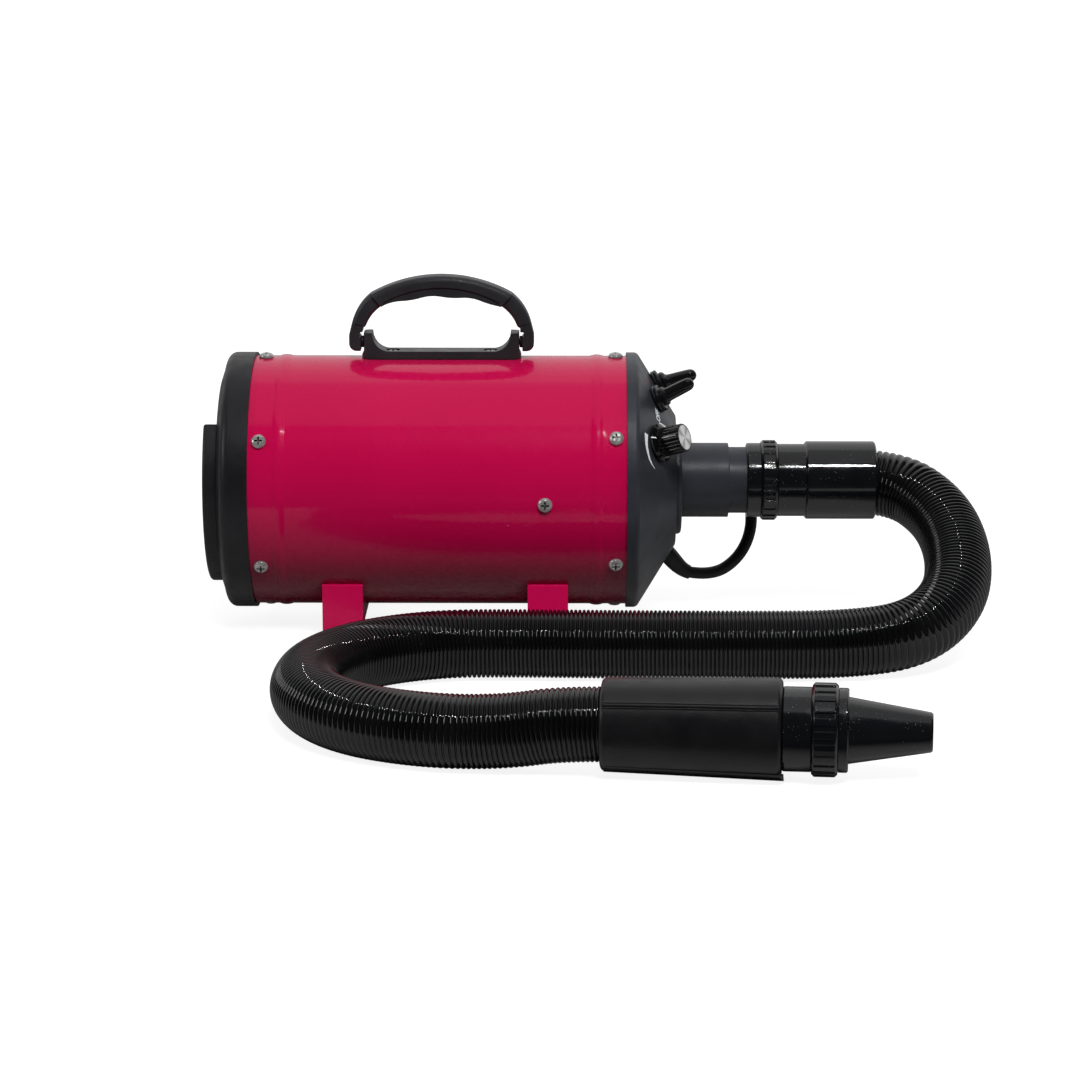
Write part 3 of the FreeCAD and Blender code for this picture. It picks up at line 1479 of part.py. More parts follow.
def rounded_path(points):
    """Straight runs joined by tangent arcs, as edges, with the arcs' radii."""
    edges, radii = [], []
    start = points[0]
    for before, corner, after in zip(points, points[1:], points[2:]):
        back, ahead = before - corner, after - corner
        reach = arc_share * min(back.Length, ahead.Length)
        half_turn = (math.pi - back.getAngle(ahead)) / 2
        radius = reach / math.tan(half_turn)
        back.normalize()
        ahead.normalize()
        inward = (back + ahead).normalize()
        first, last = corner + back * reach, corner + ahead * reach
        middle = corner + inward * (radius / math.cos(half_turn) - radius)
        edges.append(Part.LineSegment(start, first).toShape())
        edges.append(Part.Arc(first, middle, last).toShape())
        radii.append(radius)
        start = last
    edges.append(Part.LineSegment(start, points[-1]).toShape())
    return edges, radii


def swept(name, points, radius, bore=0.0):
    """A round tube along a route, with a report of its length, volume and radii."""
    edges, radii = rounded_path(points)
    path = Part.Wire(edges)
    heading = points[1] - points[0]

    def pipe(size):
        return path.makePipeShell([Part.Wire(Part.makeCircle(size, points[0], heading))], True, True)

    body = pipe(radius).cut(pipe(bore)) if bore else pipe(radius)
    length = sum(edge.Length for edge in edges)
    expected = math.pi * (radius ** 2 - bore ** 2) * length
    print("%s: length %.1f, volume over section times length %.5f, radii %s"
          % (name, length, body.Volume / expected, " ".join("%.0f" % size for size in radii)))
    return body


grip_heading = Vector(math.cos(math.radians(grip_yaw)), math.sin(math.radians(grip_yaw)), 0)


def on_grip(distance):
    """A point on the free end's axis, measured from the sleeve's start."""
    return grip_start + Vector(0, 0, grip_z) + grip_heading * distance


hose_route = [
    Vector(hose_start_x - hose_in_cuff, 0, 0),
    Vector(267.6, 0, 0),
    Vector(296.6, -30.6, -14.9),
    Vector(305.6, -72, -35.1),
    Vector(298.6, -113.3, -55.3),
    Vector(270.6, -144.8, -70),
    Vector(225.6, -154, hose_floor_z),
    Vector(158.6, -155.5, hose_floor_z),
    Vector(83.6, -155, hose_floor_z),
    Vector(20.6, -152.5, hose_floor_z),
    Vector(-30.4, -154, hose_floor_z),
    Vector(-77.8, -181.3, hose_floor_z),
    Vector(-105.1, -228.7, hose_floor_z),
    Vector(-105.1, -283.3, hose_floor_z),
    Vector(-77.8, -330.7, hose_floor_z),
    Vector(-30.4, -357, hose_floor_z),
    Vector(15, -361.5, hose_floor_z + 0.6),
    on_grip(-20),
    on_grip(hose_in_grip),
]


def hose():
    """The hose, from its stop in the cuff to the socket inside the grip."""
    return swept("hose", hose_route, hose_radius, hose_radius - hose_wall)


def at_free_end(shape, distance):
    """Put a shape made about the barrel's axis, from x = 0, on the free end's axis."""
    copy = shape.copy()
    turn = Rotation(UP, grip_yaw)
    copy.Placement = Placement(on_grip(distance), turn).multiply(copy.Placement)
    return copy


def grip_sleeve():
    """The soft sleeve that the hand holds."""
    inner = hose_radius + sleeve_clearance
    side = grip_round * (1 - math.sqrt(0.5))
    slope = (grip_end_radius - grip_start_radius) / grip_length
    near = grip_start_radius + slope * grip_round
    far = grip_end_radius - slope * grip_round
    body = turned([(0, inner), (0, near - grip_round), ((side, near - side), (grip_round, near)),
                   (grip_length - grip_round, far),
                   ((grip_length - side, far - side), (grip_length, far - grip_round)),
                   (grip_length, inner)])
    return at_free_end(body, 0)


def hose_end_socket():
    """The tube inside the grip and the socket that takes the nozzle; its nose carries the ring."""
    tail = hose_in_grip + hose_end_gap - grip_length
    nose = socket_length + socket_nose_length
    body = turned([(tail, socket_bore_radius), (tail, hose_radius), (socket_gap, hose_radius),
                   (socket_gap, socket_radius - socket_edge), (socket_gap + socket_edge, socket_radius),
                   (socket_length, socket_radius),
                   (socket_length, coupler_tube_radius), (nose, coupler_tube_radius),
                   (nose, socket_bore_radius)])
    return at_free_end(body, grip_length)


def nozzle_lock_ring():
    """The second ribbed ring."""
    return at_free_end(ribbed_ring(ring_end_gap, end_ring_length - 2 * ring_end_gap),
                       grip_length + socket_length)


def nozzle():
    """The collar and the tapered nozzle, with a root inside the lock ring."""
    start = end_ring_length - nozzle_root_length
    collar_end = end_ring_length + nozzle_collar_length
    tip = collar_end + nozzle_length
    body = turned([
        (start, socket_bore_radius), (start, coupler_tube_radius), (end_ring_length, coupler_tube_radius),
        (end_ring_length, nozzle_collar_radius), (collar_end - 0.8, nozzle_collar_radius),
        (collar_end, nozzle_collar_radius - 0.8), (collar_end, nozzle_root_radius),
        (tip - 1, nozzle_tip_radius), (tip, nozzle_tip_radius - 0.8),
        (tip, nozzle_tip_radius - nozzle_wall), (collar_end, nozzle_root_radius - nozzle_wall)])
    return at_free_end(body, grip_length + socket_length)


# Mains cord

relief_foot = cone_point(relief_station, relief_angle)
relief_route = [
    relief_foot + cone_normal(relief_angle) * relief_flange_height,
    relief_foot + Vector(8.1, 3.2, -7.9),
    relief_foot + Vector(13.4, 5.8, -14),
    relief_foot + Vector(20.4, 7.9, -18.6),
]

cord_route = [
    relief_route[-1],
    relief_route[-1] + Vector(16, 3, -3.3),
    relief_route[-1] + Vector(34, 5.5, 8.5),
    relief_route[-1] + Vector(43, 9, 28),
    relief_route[-1] + Vector(41, 13, 50.5),
    relief_route[-1] + Vector(27.5, 19, 69),
    relief_route[-1] + Vector(7, 30, 76.5),
    Vector(122, 82, 3),
    Vector(106, 100, -8),
    Vector(92, 110, -27),
    Vector(82, 114, floor_z + 44.7),
    Vector(71, 112, floor_z + 20.7),
    Vector(50.5, 103.2, cord_floor_z),
    Vector(24.2, 93.1, cord_floor_z),
]


def cord_relief():
    """The rubber strain relief, tapering from the cone to the cord."""
    out = cone_normal(relief_angle)
    lip_z = -cap_wall - relief_lip_gap
    inner = upright([(0, lip_z - relief_lip_length), (relief_shank_radius, lip_z - relief_lip_length),
                     (relief_lip_radius, lip_z), (relief_shank_radius, lip_z), (relief_shank_radius, 0),
                     (relief_flange_radius, 0), (relief_flange_radius, relief_flange_height),
                     (0, relief_flange_height)])
    flange = on_cone(inner, relief_station, relief_angle)
    count = len(relief_route)
    rings = []
    for k, place in enumerate(relief_route):
        if k == 0:
            heading = out
        elif k == count - 1:
            heading = cord_route[1] - cord_route[0]
        else:
            heading = relief_route[k + 1] - relief_route[k - 1]
        radius = relief_base_radius + (relief_end_radius - relief_base_radius) * k / (count - 1)
        rings.append(Part.Wire(Part.makeCircle(radius, place, heading)))
    taper = Part.makeLoft(rings, True)
    return fused([flange, taper])


def power_cord():
    """The lead from the strain relief to the coil."""
    return swept("power_cord", cord_route, cord_radius)


def cord_coil():
    """The outer shape of the coiled length."""
    base = coil_centre + Vector(0, 0, floor_z + 0.1)
    body = Part.makeCylinder(coil_outer_radius, coil_height, base)
    return body.cut(Part.makeCylinder(coil_inner_radius, coil_height, base))


plug_start = coil_centre + Vector(-plug_coil_overlap, cord_radius - coil_outer_radius,
                                  floor_z + plug_radius + plug_floor_gap)


def plug_body():
    """The moulded plug, lying beside the coil with its tail against it."""
    tail = plug_tail_length
    waist = tail + plug_body_length - plug_face_length
    end = tail + plug_body_length
    body = upright([(0, 0), (plug_tail_radius, 0), (plug_waist_radius, tail),
                    ((plug_waist_radius + 1.6, (tail + waist) / 2 + 2), (plug_radius - 1.5, waist)),
                    (plug_radius, waist + 1.5), (plug_radius, end - 1), (plug_radius - 1, end), (0, end)])
    return placed(body, plug_start, ALONG * -1)


def plug_pins():
    """The two round pins, with domed ends."""
    end = plug_tail_length + plug_body_length
    straight = plug_pin_length - plug_pin_radius
    bend = plug_pin_radius * math.sqrt(0.5)
    pin = upright([(0, 0), (plug_pin_radius, 0), (plug_pin_radius, straight),
                   ((bend, straight + bend), (0, plug_pin_length))])
    pins = []
    for side in (-1, 1):
        place = plug_start + ALONG * -end + Vector(0, side * plug_pin_spacing / 2, 0)
        pins.append(placed(pin, place, ALONG * -1))
    return Part.makeCompound(pins)


def save(name, shape):
    """Lift a piece from the axis to its height over the floor and write it."""
    lifted = shape.copy()
    lifted.translate(Vector(0, 0, barrel_axis_height))
    if not lifted.isValid():
        print(name, "is not a valid shape")
    lifted.exportStep("parts/%s.step" % name)
    box = lifted.BoundBox
    print("%-22s solids %2d  volume %9.0f  x %7.1f %7.1f  y %7.1f %7.1f  z %6.1f %6.1f"
          % (name, len(lifted.Solids), lifted.Volume, box.XMin, box.XMax, box.YMin, box.YMax,
             box.ZMin, box.ZMax))


os.makedirs("parts", exist_ok=True)

save("barrel", barrel())
save("rear_cap", rear_cap())
save("front_cap", front_cap())
save("outlet_spigot", outlet_spigot())
save("barrel_screws", barrel_screws())
save("finger_guard", finger_guard())
save("filter_cover", filter_cover())
save("filter_pad", filter_pad())
save("rear_foot", foot(rear_foot_x))
save("front_foot", foot(front_foot_x))
save("foot_pads", foot_pads())
save("foot_screws", foot_screws())
save("barrel_nuts", barrel_nuts())
save("handle_base", handle_base())
save("handle_screws", handle_screws())
save("handle_pins", handle_pins())
save("handle_lugs", handle_lugs())
save("handle_arms", handle_arms())
save("handle_grip", handle_grip())
save("speed_knob", speed_knob())
save("knob_disc", knob_disc())
save("potentiometer_shaft", potentiometer_shaft())
save("potentiometer", potentiometer())
save("toggle_switches", toggle_switches())
save("panel_nuts", panel_nuts())
for side, angle, tilt in (("front", front_toggle_angle, front_toggle_tilt),
                          ("rear", rear_toggle_angle, rear_toggle_tilt)):
    save(side + "_toggle_boot", toggle_boot(angle))
    save(side + "_toggle_lever", toggle_lever(angle, tilt))
    save(side + "_toggle_finger", toggle_finger(angle, tilt))
save("fan_housing", fan_housing())
save("impeller", impeller())
save("motor_shaft", motor_shaft())
save("armature", armature())
save("stator", stator())
save("motor_frame", motor_frame())
save("motor_bearings", motor_bearings())
save("brush_holders", brush_holders())
save("rear_mount_ring", rear_mount_ring())
save("motor_bracket", motor_bracket())
save("front_mount_ring", front_mount_ring())
save("noise_liner", noise_liner())
save("heater_frame", heater_frame())
save("heater_coil", heater_coil())
save("thermal_cutout", thermal_cutout())
save("control_board", control_board())
save("hose_coupler", hose_coupler())
save("outlet_lock_ring", outlet_lock_ring())
save("hose_cuff", hose_cuff())
save("hose", hose())
save("grip_sleeve", grip_sleeve())
save("hose_end_socket", hose_end_socket())
save("nozzle_lock_ring", nozzle_lock_ring())
save("nozzle", nozzle())
save("cord_relief", cord_relief())
save("power_cord", power_cord())
save("cord_coil", cord_coil())
save("plug_body", plug_body())
save("plug_pins", plug_pins())
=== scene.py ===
"""Looks of the pet dryer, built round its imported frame. Metres, in the frame's own axes."""

import bisect
import math

import bmesh
import bpy
from mathutils import Matrix, Vector


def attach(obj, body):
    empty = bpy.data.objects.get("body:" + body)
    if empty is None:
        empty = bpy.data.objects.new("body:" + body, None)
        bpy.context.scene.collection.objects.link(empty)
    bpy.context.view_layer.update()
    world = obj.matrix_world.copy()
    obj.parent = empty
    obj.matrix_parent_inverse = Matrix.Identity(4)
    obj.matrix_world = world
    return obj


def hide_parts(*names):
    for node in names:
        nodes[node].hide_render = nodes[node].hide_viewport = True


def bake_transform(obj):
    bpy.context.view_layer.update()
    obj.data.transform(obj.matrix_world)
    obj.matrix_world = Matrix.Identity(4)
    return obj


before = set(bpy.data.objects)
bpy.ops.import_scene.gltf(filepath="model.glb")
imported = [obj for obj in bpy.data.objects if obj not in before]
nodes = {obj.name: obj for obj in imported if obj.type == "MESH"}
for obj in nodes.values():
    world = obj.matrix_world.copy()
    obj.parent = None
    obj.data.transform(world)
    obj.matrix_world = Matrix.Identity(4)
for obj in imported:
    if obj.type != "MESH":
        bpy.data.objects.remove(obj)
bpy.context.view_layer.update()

MM = 0.001
AXIS_Z = 0.0957    # the barrel's axis above the floor, in metres
FLOOR = -95.7      # the floor from the barrel's axis, in millimetres
ALONG = Vector((1, 0, 0))
UP = Vector((0, 0, 1))


def mm(x, y, z):
    """From millimetres about the barrel's axis to the frame."""
    return Vector((x * MM, y * MM, z * MM + AXIS_Z))


def metres(place):
    return mm(place.x, place.y, place.z)


def linked(name, data):
    obj = bpy.data.objects.new(name, data)
    bpy.context.scene.collection.objects.link(obj)
    return obj


def aim(obj, direction):
    """Turn a camera or a lamp along a direction, level with the floor."""
    obj.rotation_mode = "QUATERNION"
    obj.rotation_quaternion = direction.to_track_quat("-Z", "Y")


# Camera: the photograph's viewpoint, a long lens a little above the barrel's axis

CAMERA_DISTANCE, CAMERA_RISE = 2.333, math.radians(11.5)
CAMERA_X = 0.0536
CAMERA_LENS, CAMERA_SENSOR = 116.67, 36
LOOK_LEFT, LOOK_DOWN = 0.00886, 0.01729


def make_camera():
    data = bpy.data.cameras.new("camera")
    data.sensor_width = CAMERA_SENSOR
    data.lens = CAMERA_LENS
    obj = linked("camera", data)
    ahead = Vector((0, math.cos(CAMERA_RISE), -math.sin(CAMERA_RISE)))
    upward = Vector((0, math.sin(CAMERA_RISE), math.cos(CAMERA_RISE)))
    obj.location = (CAMERA_X, -CAMERA_DISTANCE * math.cos(CAMERA_RISE),
                    AXIS_Z + CAMERA_DISTANCE * math.sin(CAMERA_RISE))
    aim(obj, ahead - LOOK_LEFT * ALONG - LOOK_DOWN * upward)
    bpy.context.scene.camera = obj
    bpy.context.scene.view_settings.view_transform = "Standard"


# Places on the front cap's cone, in millimetres and degrees. A station is a distance from the
# barrel's axis. An angle of 0 is level on the knob's side, and 90 is the top.

CONE_LEAN = math.atan2(25.8, 41.8)
CONE_FACE_X, CONE_FACE_RADIUS = 122.8, 43.0
KNOB_STATION, KNOB_ANGLE = 62.7, 33.6
KNOB_DISC_HEIGHT = 19.4
TOGGLE_STATION = 64.2
PRINT_LIFT = 0.07


def radial(angle):
    turn = math.radians(angle)
    return Vector((0, -math.cos(turn), math.sin(turn)))


def cone_point(station, angle):
    x = CONE_FACE_X - (station - CONE_FACE_RADIUS) * math.tan(CONE_LEAN)
    return ALONG * x + radial(angle) * station


def cone_normal(angle):
    return ALONG * math.cos(CONE_LEAN) + radial(angle) * math.sin(CONE_LEAN)


def cone_axes(angle):
    """The ways out of the cone, up its slope and across it."""
    out = cone_normal(angle)
    up = radial(angle) * math.cos(CONE_LEAN) - ALONG * math.sin(CONE_LEAN)
    return out, up, out.cross(up)


def printed(station, angle, up, ahead):
    """A point of a print on the cone: up the slope and towards growing angles from a place."""
    s = station + up * math.cos(CONE_LEAN)
    a = angle + math.degrees(ahead / station)
    return metres(cone_point(s, a) + cone_normal(a) * PRINT_LIFT)


# Materials

MIX_A, MIX_B, MIX_RESULT = 6, 7, 2    # the Mix node's colour sockets
OPENNESS_SAMPLES = 12
DUST_CELLS = 800.0                    # cells in a metre, with one speck in some of them
DUST_SIZE, DUST_STRENGTH = 0.20, 0.40
DUST_CHOICE, DUST_PATCHES = 0.72, 0.45    # the cell's own number and the noise lie above these
# The knob disc's light and dark sectors are a painted reflection of its spun finish.
DISC_GLINT_SECTORS, DISC_GLINT_PHASE = 2.0, 0.5
DISC_RINGS = 26000.0                  # radians in a metre


class Paint:
    """A node tree round one Principled shader."""

    def __init__(self, name):
        self.mat = bpy.data.materials.new(name)
        self.mat.use_nodes = True
        self.tree = self.mat.node_tree
        self.shader = self.tree.nodes["Principled BSDF"]
        self.where = self.node("ShaderNodeTexCoord").outputs["Object"]

    def node(self, kind, **values):
        made = self.tree.nodes.new(kind)
        for key, value in values.items():
            if key in made.inputs:
                made.inputs[key].default_value = value
            else:
                setattr(made, key, value)
        return made

    def link(self, out, to):
        self.tree.links.new(out, to)

    def feed(self, value, socket):
        """Set a socket to a colour or a number, or link an output to it."""
        if isinstance(value, tuple):
            socket.default_value = value + (1,)
        elif isinstance(value, (int, float)):
            socket.default_value = value
        else:
            self.link(value, socket)

    def set(self, **values):
        for key, value in values.items():
            self.shader.inputs[key.replace("_", " ")].default_value = value

    def noise(self, scale, detail=3.0, roughness=0.5):
        made = self.node("ShaderNodeTexNoise", Scale=scale, Detail=detail, Roughness=roughness)
        self.link(self.where, made.inputs["Vector"])
        return made.outputs["Fac"]

    def spread(self, value, low, high, start=0.3, end=0.7):
        """Turn a 0 to 1 pattern into a range."""
        ends = {"From Min": start, "From Max": end, "To Min": low, "To Max": high}
        made = self.node("ShaderNodeMapRange", **ends)
        self.link(value, made.inputs["Value"])
        return made.outputs["Result"]

    def mix(self, fac, first, second):
        made = self.node("ShaderNodeMix", data_type="RGBA")
        self.feed(first, made.inputs[MIX_A])
        self.feed(second, made.inputs[MIX_B])
        self.link(fac, made.inputs[0])
        return made.outputs[MIX_RESULT]

    def calc(self, kind, first, second=0.0, third=0.0):
        made = self.node("ShaderNodeMath", operation=kind)
        for value, socket in zip((first, second, third), made.inputs):
            self.feed(value, socket)
        return made.outputs[0]

    def shade_openness(self, reach, start, end):
        """0 in recesses and gaps narrower than the reach, 1 in the open: the mask for painted
        shade.
        """
        made = self.node("ShaderNodeAmbientOcclusion", Distance=reach)
        made.samples = OPENNESS_SAMPLES
        return self.spread(made.outputs["AO"], 0, 1, start, end)

    def bump(self, height, distance, strength=1.0):
        made = self.node("ShaderNodeBump", Strength=strength, Distance=distance)
        self.link(height, made.inputs["Height"])
        return made.outputs["Normal"]

    def finish(self, colour, roughness, normal):
        self.feed(colour, self.shader.inputs["Base Color"])
        self.feed(roughness, self.shader.inputs["Roughness"])
        self.feed(normal, self.shader.inputs["Normal"])
        return self.mat


def enamel(name, dark, light):
    """Gloss paint with orange peel and faint cloudy patches."""
    p = Paint(name)
    p.set(Coat_Weight=0.60, Coat_Roughness=0.035, Specular_IOR_Level=0.06)
    colour = p.mix(p.spread(p.noise(11, 4), 0, 1), dark, light)
    peel = p.bump(p.noise(330, 3), 0.00012, 0.5)
    p.link(peel, p.shader.inputs["Coat Normal"])
    return p.finish(colour, p.spread(p.noise(120), 0.20, 0.32), peel)


def specked_gloss(name):
    """Gloss black plastic with specks of dust in patches."""
    p = Paint(name)
    p.set(Specular_IOR_Level=0.95)
    speck = p.node("ShaderNodeTexVoronoi", Scale=DUST_CELLS)
    p.link(p.where, speck.inputs["Vector"])
    near = p.calc("LESS_THAN", speck.outputs["Distance"], DUST_SIZE)
    chosen = p.calc("GREATER_THAN", speck.outputs["Color"], DUST_CHOICE)
    some = p.calc("MULTIPLY", chosen, p.calc("GREATER_THAN", p.noise(70, 3), DUST_PATCHES))
    dust = p.calc("MULTIPLY", p.calc("MULTIPLY", near, some), DUST_STRENGTH)
    cloud = p.spread(p.noise(38, 4), 0, 1)
    base = p.mix(cloud, (0.0028, 0.0032, 0.0042), (0.0052, 0.0058, 0.0070))
    colour = p.mix(dust, base, (0.16, 0.17, 0.18))
    rough = p.calc("ADD", p.spread(p.noise(70, 4), 0.07, 0.16), p.calc("MULTIPLY", dust, 0.5))
    return p.finish(colour, rough, p.bump(p.noise(220, 2), 0.00004, 0.3))


def spun_metal(name):
    """The knob's spun disc: light and dark sectors of painted reflection that turn with it, over
    fine rings.
    """
    p = Paint(name)
    p.set(Metallic=0.45)
    out, up, across = cone_axes(KNOB_ANGLE)
    middle = metres(cone_point(KNOB_STATION, KNOB_ANGLE) + out * KNOB_DISC_HEIGHT)
    offset = p.node("ShaderNodeVectorMath", operation="SUBTRACT")
    p.link(p.where, offset.inputs[0])
    offset.inputs[1].default_value = middle

    def measured(direction):
        dot = p.node("ShaderNodeVectorMath", operation="DOT_PRODUCT")
        p.link(offset.outputs[0], dot.inputs[0])
        dot.inputs[1].default_value = direction
        return dot.outputs["Value"]

    x, y = measured(up), measured(across)
    # Painted reflection: light and dark sectors by the angle round the disc's middle.
    turned = p.calc("MULTIPLY_ADD", p.calc("ARCTAN2", y, x), DISC_GLINT_SECTORS, DISC_GLINT_PHASE)
    sectors = p.calc("ABSOLUTE", p.calc("SINE", turned))
    squares = p.calc("ADD", p.calc("MULTIPLY", x, x), p.calc("MULTIPLY", y, y))
    rings = p.calc("SINE", p.calc("MULTIPLY", p.calc("SQRT", squares), DISC_RINGS))
    painted_glint = p.spread(sectors, 0, 1, 0.05, 0.95)
    colour = p.mix(painted_glint, (0.36, 0.36, 0.37), (0.92, 0.91, 0.90))
    return p.finish(colour, 0.28, p.bump(rings, 0.00001, 0.5))


def plain_grain(name, dark, light, rough, grain, depth, specular, joints=False):
    """A moulded plastic or rubber: slight changes of tone, uneven gloss and a fine grain, with
    painted shade in its recesses if asked.
    """
    p = Paint(name)
    p.set(Specular_IOR_Level=specular)
    colour = p.mix(p.spread(p.noise(38, 4), 0, 1), dark, light)
    # Painted shade: near black in gaps and recesses narrower than the reach.
    if joints:
        colour = p.mix(p.shade_openness(0.0022, 0.35, 0.92), (0.001, 0.001, 0.001), colour)
    gloss = p.spread(p.noise(90, 3), *rough)
    return p.finish(colour, gloss, p.bump(p.noise(grain, 2, 0.6), depth, 0.5))


def bare_metal(name, dark, light, rough):
    """Bare or plated metal, with painted shade in its recesses."""
    p = Paint(name)
    p.set(Metallic=0.7)
    colour = p.mix(p.spread(p.noise(160, 4), 0, 1), dark, light)
    # Painted shade: near black in recesses narrower than the reach.
    colour = p.mix(p.shade_openness(0.0016, 0.45, 0.95), (0.03, 0.03, 0.03), colour)
    return p.finish(colour, p.spread(p.noise(260), *rough), p.bump(p.noise(1200), 0.00003, 0.4))


# Name, dark colour, light colour
ENAMELS = {
    "enamel": ("crimson_enamel", (0.480, 0.0020, 0.058), (0.520, 0.0030, 0.067)),
    # The feet's enamel is the barrel's paint made lighter: painted light on their faces, which
    # meet the key lamp.
    "foot_enamel_painted_lighter": ("foot_enamel_painted_lighter", (0.600, 0.0035, 0.078), (0.640, 0.0045, 0.086)),
}
# Name, dark colour, light colour, range of roughness, the grain's scale and depth, specular
# level, and whether shade is painted into its gaps and recesses
GRAINS = {
    "moulding": ("black_moulding", (0.0085, 0.0085, 0.0105), (0.0135, 0.0135, 0.0160),
                 (0.34, 0.50), 1500, 0.00008, 0.45),
    "grained": ("grained_moulding", (0.017, 0.017, 0.0195), (0.027, 0.027, 0.030),
                (0.32, 0.46), 1100, 0.00026, 0.5, True),
    "cone": ("cone_moulding", (0.024, 0.026, 0.033), (0.034, 0.037, 0.046),
             (0.32, 0.44), 1500, 0.00008, 0.5),
    "knob": ("black_knob", (0.002, 0.002, 0.002), (0.004, 0.004, 0.004),
             (0.08, 0.16), 600, 0.00002, 0.55),
    "hose": ("black_hose", (0.0022, 0.0022, 0.0025), (0.0044, 0.0044, 0.0050),
             (0.03, 0.09), 700, 0.00001, 0.75),
    "rubber": ("black_rubber", (0.007, 0.007, 0.008), (0.011, 0.011, 0.012),
               (0.38, 0.55), 1100, 0.00006, 0.4),
    "boot": ("boot_rubber", (0.003, 0.003, 0.0035), (0.006, 0.006, 0.007),
             (0.10, 0.20), 900, 0.00004, 0.9),
    "sleeve": ("sleeve_rubber", (0.0045, 0.0045, 0.0055), (0.0085, 0.0085, 0.0095),
               (0.30, 0.44), 900, 0.00014, 0.65),
    "foam": ("grey_foam", (0.06, 0.06, 0.062), (0.13, 0.13, 0.135),
             (0.85, 0.98), 500, 0.0008, 0.2),
    "mica": ("mica_board", (0.42, 0.36, 0.27), (0.60, 0.53, 0.42),
             (0.35, 0.55), 500, 0.00005, 0.4),
    "board": ("circuit_board", (0.015, 0.13, 0.05), (0.03, 0.20, 0.08),
              (0.25, 0.4), 400, 0.00004, 0.5),
    "winding": ("winding", (0.30, 0.11, 0.03), (0.48, 0.20, 0.07),
                (0.25, 0.45), 900, 0.0002, 0.5),
    "print": ("white_print", (0.80, 0.83, 0.86), (0.88, 0.90, 0.93),
              (0.45, 0.60), 900, 0.00002, 0.3),
    "red_print": ("red_print", (0.42, 0.035, 0.02), (0.52, 0.05, 0.03),
                  (0.45, 0.60), 900, 0.00002, 0.3),
}
# Name, dark colour, light colour, range of roughness
METALS = {
    "steel": ("zinc_steel", (0.50, 0.49, 0.48), (0.68, 0.67, 0.66), (0.16, 0.32)),
    "brass": ("brass", (0.60, 0.43, 0.18), (0.74, 0.56, 0.26), (0.22, 0.36)),
    "spun": ("bare_aluminium", (0.66, 0.66, 0.67), (0.82, 0.82, 0.83), (0.20, 0.34)),
}


def make_materials():
    made = {key: enamel(*row) for key, row in ENAMELS.items()}
    made["gloss"] = specked_gloss("black_gloss")
    made["spun_disc"] = spun_metal("spun_aluminium")
    for table, maker in ((GRAINS, plain_grain), (METALS, bare_metal)):
        for key, row in table.items():
            made[key] = maker(*row)
    return made


# CAD nodes

NODE_FINISH = {
    "enamel": ["barrel"],
    "foot_enamel_painted_lighter": ["rear_foot", "front_foot"],
    "moulding": ["rear_cap", "finger_guard", "filter_cover", "toggle_switches"],
    "grained": ["handle_base", "handle_lugs", "handle_arms", "handle_grip"],
    "cone": ["front_cap", "outlet_spigot"],
    "knob": ["speed_knob"],
    "boot": ["front_toggle_boot", "front_toggle_finger", "rear_toggle_boot",
             "rear_toggle_finger"],
    "gloss": ["hose_coupler", "outlet_lock_ring", "hose_cuff", "hose_end_socket",
              "nozzle_lock_ring", "nozzle"],
    "hose": ["hose"],
    "rubber": ["foot_pads", "rear_mount_ring", "front_mount_ring", "cord_relief", "power_cord",
               "cord_coil", "plug_body"],
    "sleeve": ["grip_sleeve"],
    "foam": ["filter_pad", "noise_liner"],
    "steel": ["barrel_screws", "foot_screws", "barrel_nuts", "handle_screws", "handle_pins",
              "potentiometer", "panel_nuts", "front_toggle_lever", "rear_toggle_lever",
              "fan_housing", "motor_shaft", "motor_frame", "motor_bearings", "motor_bracket",
              "heater_coil", "thermal_cutout"],
    "spun_disc": ["knob_disc"],
    "spun": ["impeller"],
    "brass": ["potentiometer_shaft", "brush_holders", "plug_pins"],
    "winding": ["armature", "stator"],
    "mica": ["heater_frame"],
    "board": ["control_board"],
}
BEVEL = 0.0003
BEVELS = {"rear_foot": 0.0004, "front_foot": 0.0004, "barrel": 0.0002, "handle_arms": 0.0007,
          "handle_grip": 0.0007, "handle_lugs": 0.0007, "handle_base": 0.0006}
BEVEL_ANGLE = math.radians(28)
FLAT_ANGLE = math.radians(0.3)
WELD_DISTANCE = 0.00001


def dress_node(name, material):
    """Give a CAD node its material, softened edges and smooth shading."""
    obj = nodes[name]
    obj.data.materials.clear()
    obj.data.materials.append(material)
    smooth_faces(obj.data)
    weld = obj.modifiers.new("weld", "WELD")
    weld.merge_threshold = WELD_DISTANCE
    flat = obj.modifiers.new("flat", "DECIMATE")
    flat.decimate_type = "DISSOLVE"
    flat.angle_limit = FLAT_ANGLE
    bevel = obj.modifiers.new("bevel", "BEVEL")
    bevel.width = BEVELS.get(name, BEVEL)
    bevel.segments = 2
    bevel.limit_method = "ANGLE"
    bevel.angle_limit = BEVEL_ANGLE
    shade = obj.modifiers.new("shade", "WEIGHTED_NORMAL")
    shade.keep_sharp = True


def dress_nodes():
    for finish, names in NODE_FINISH.items():
        for name in names:
            dress_node(name, materials[finish])


# Meshes

def smooth_faces(mesh):
    for face in mesh.polygons:
        face.use_smooth = True


def meshed(name, corners, faces):
    mesh = bpy.data.meshes.new(name)
    mesh.from_pydata([tuple(c) for c in corners], [], faces)
    mesh.update()
    return mesh


def fix_normals(obj):
    bm = bmesh.new()
    bm.from_mesh(obj.data)
    bmesh.ops.recalc_face_normals(bm, faces=bm.faces)
    bm.to_mesh(obj.data)
    bm.free()


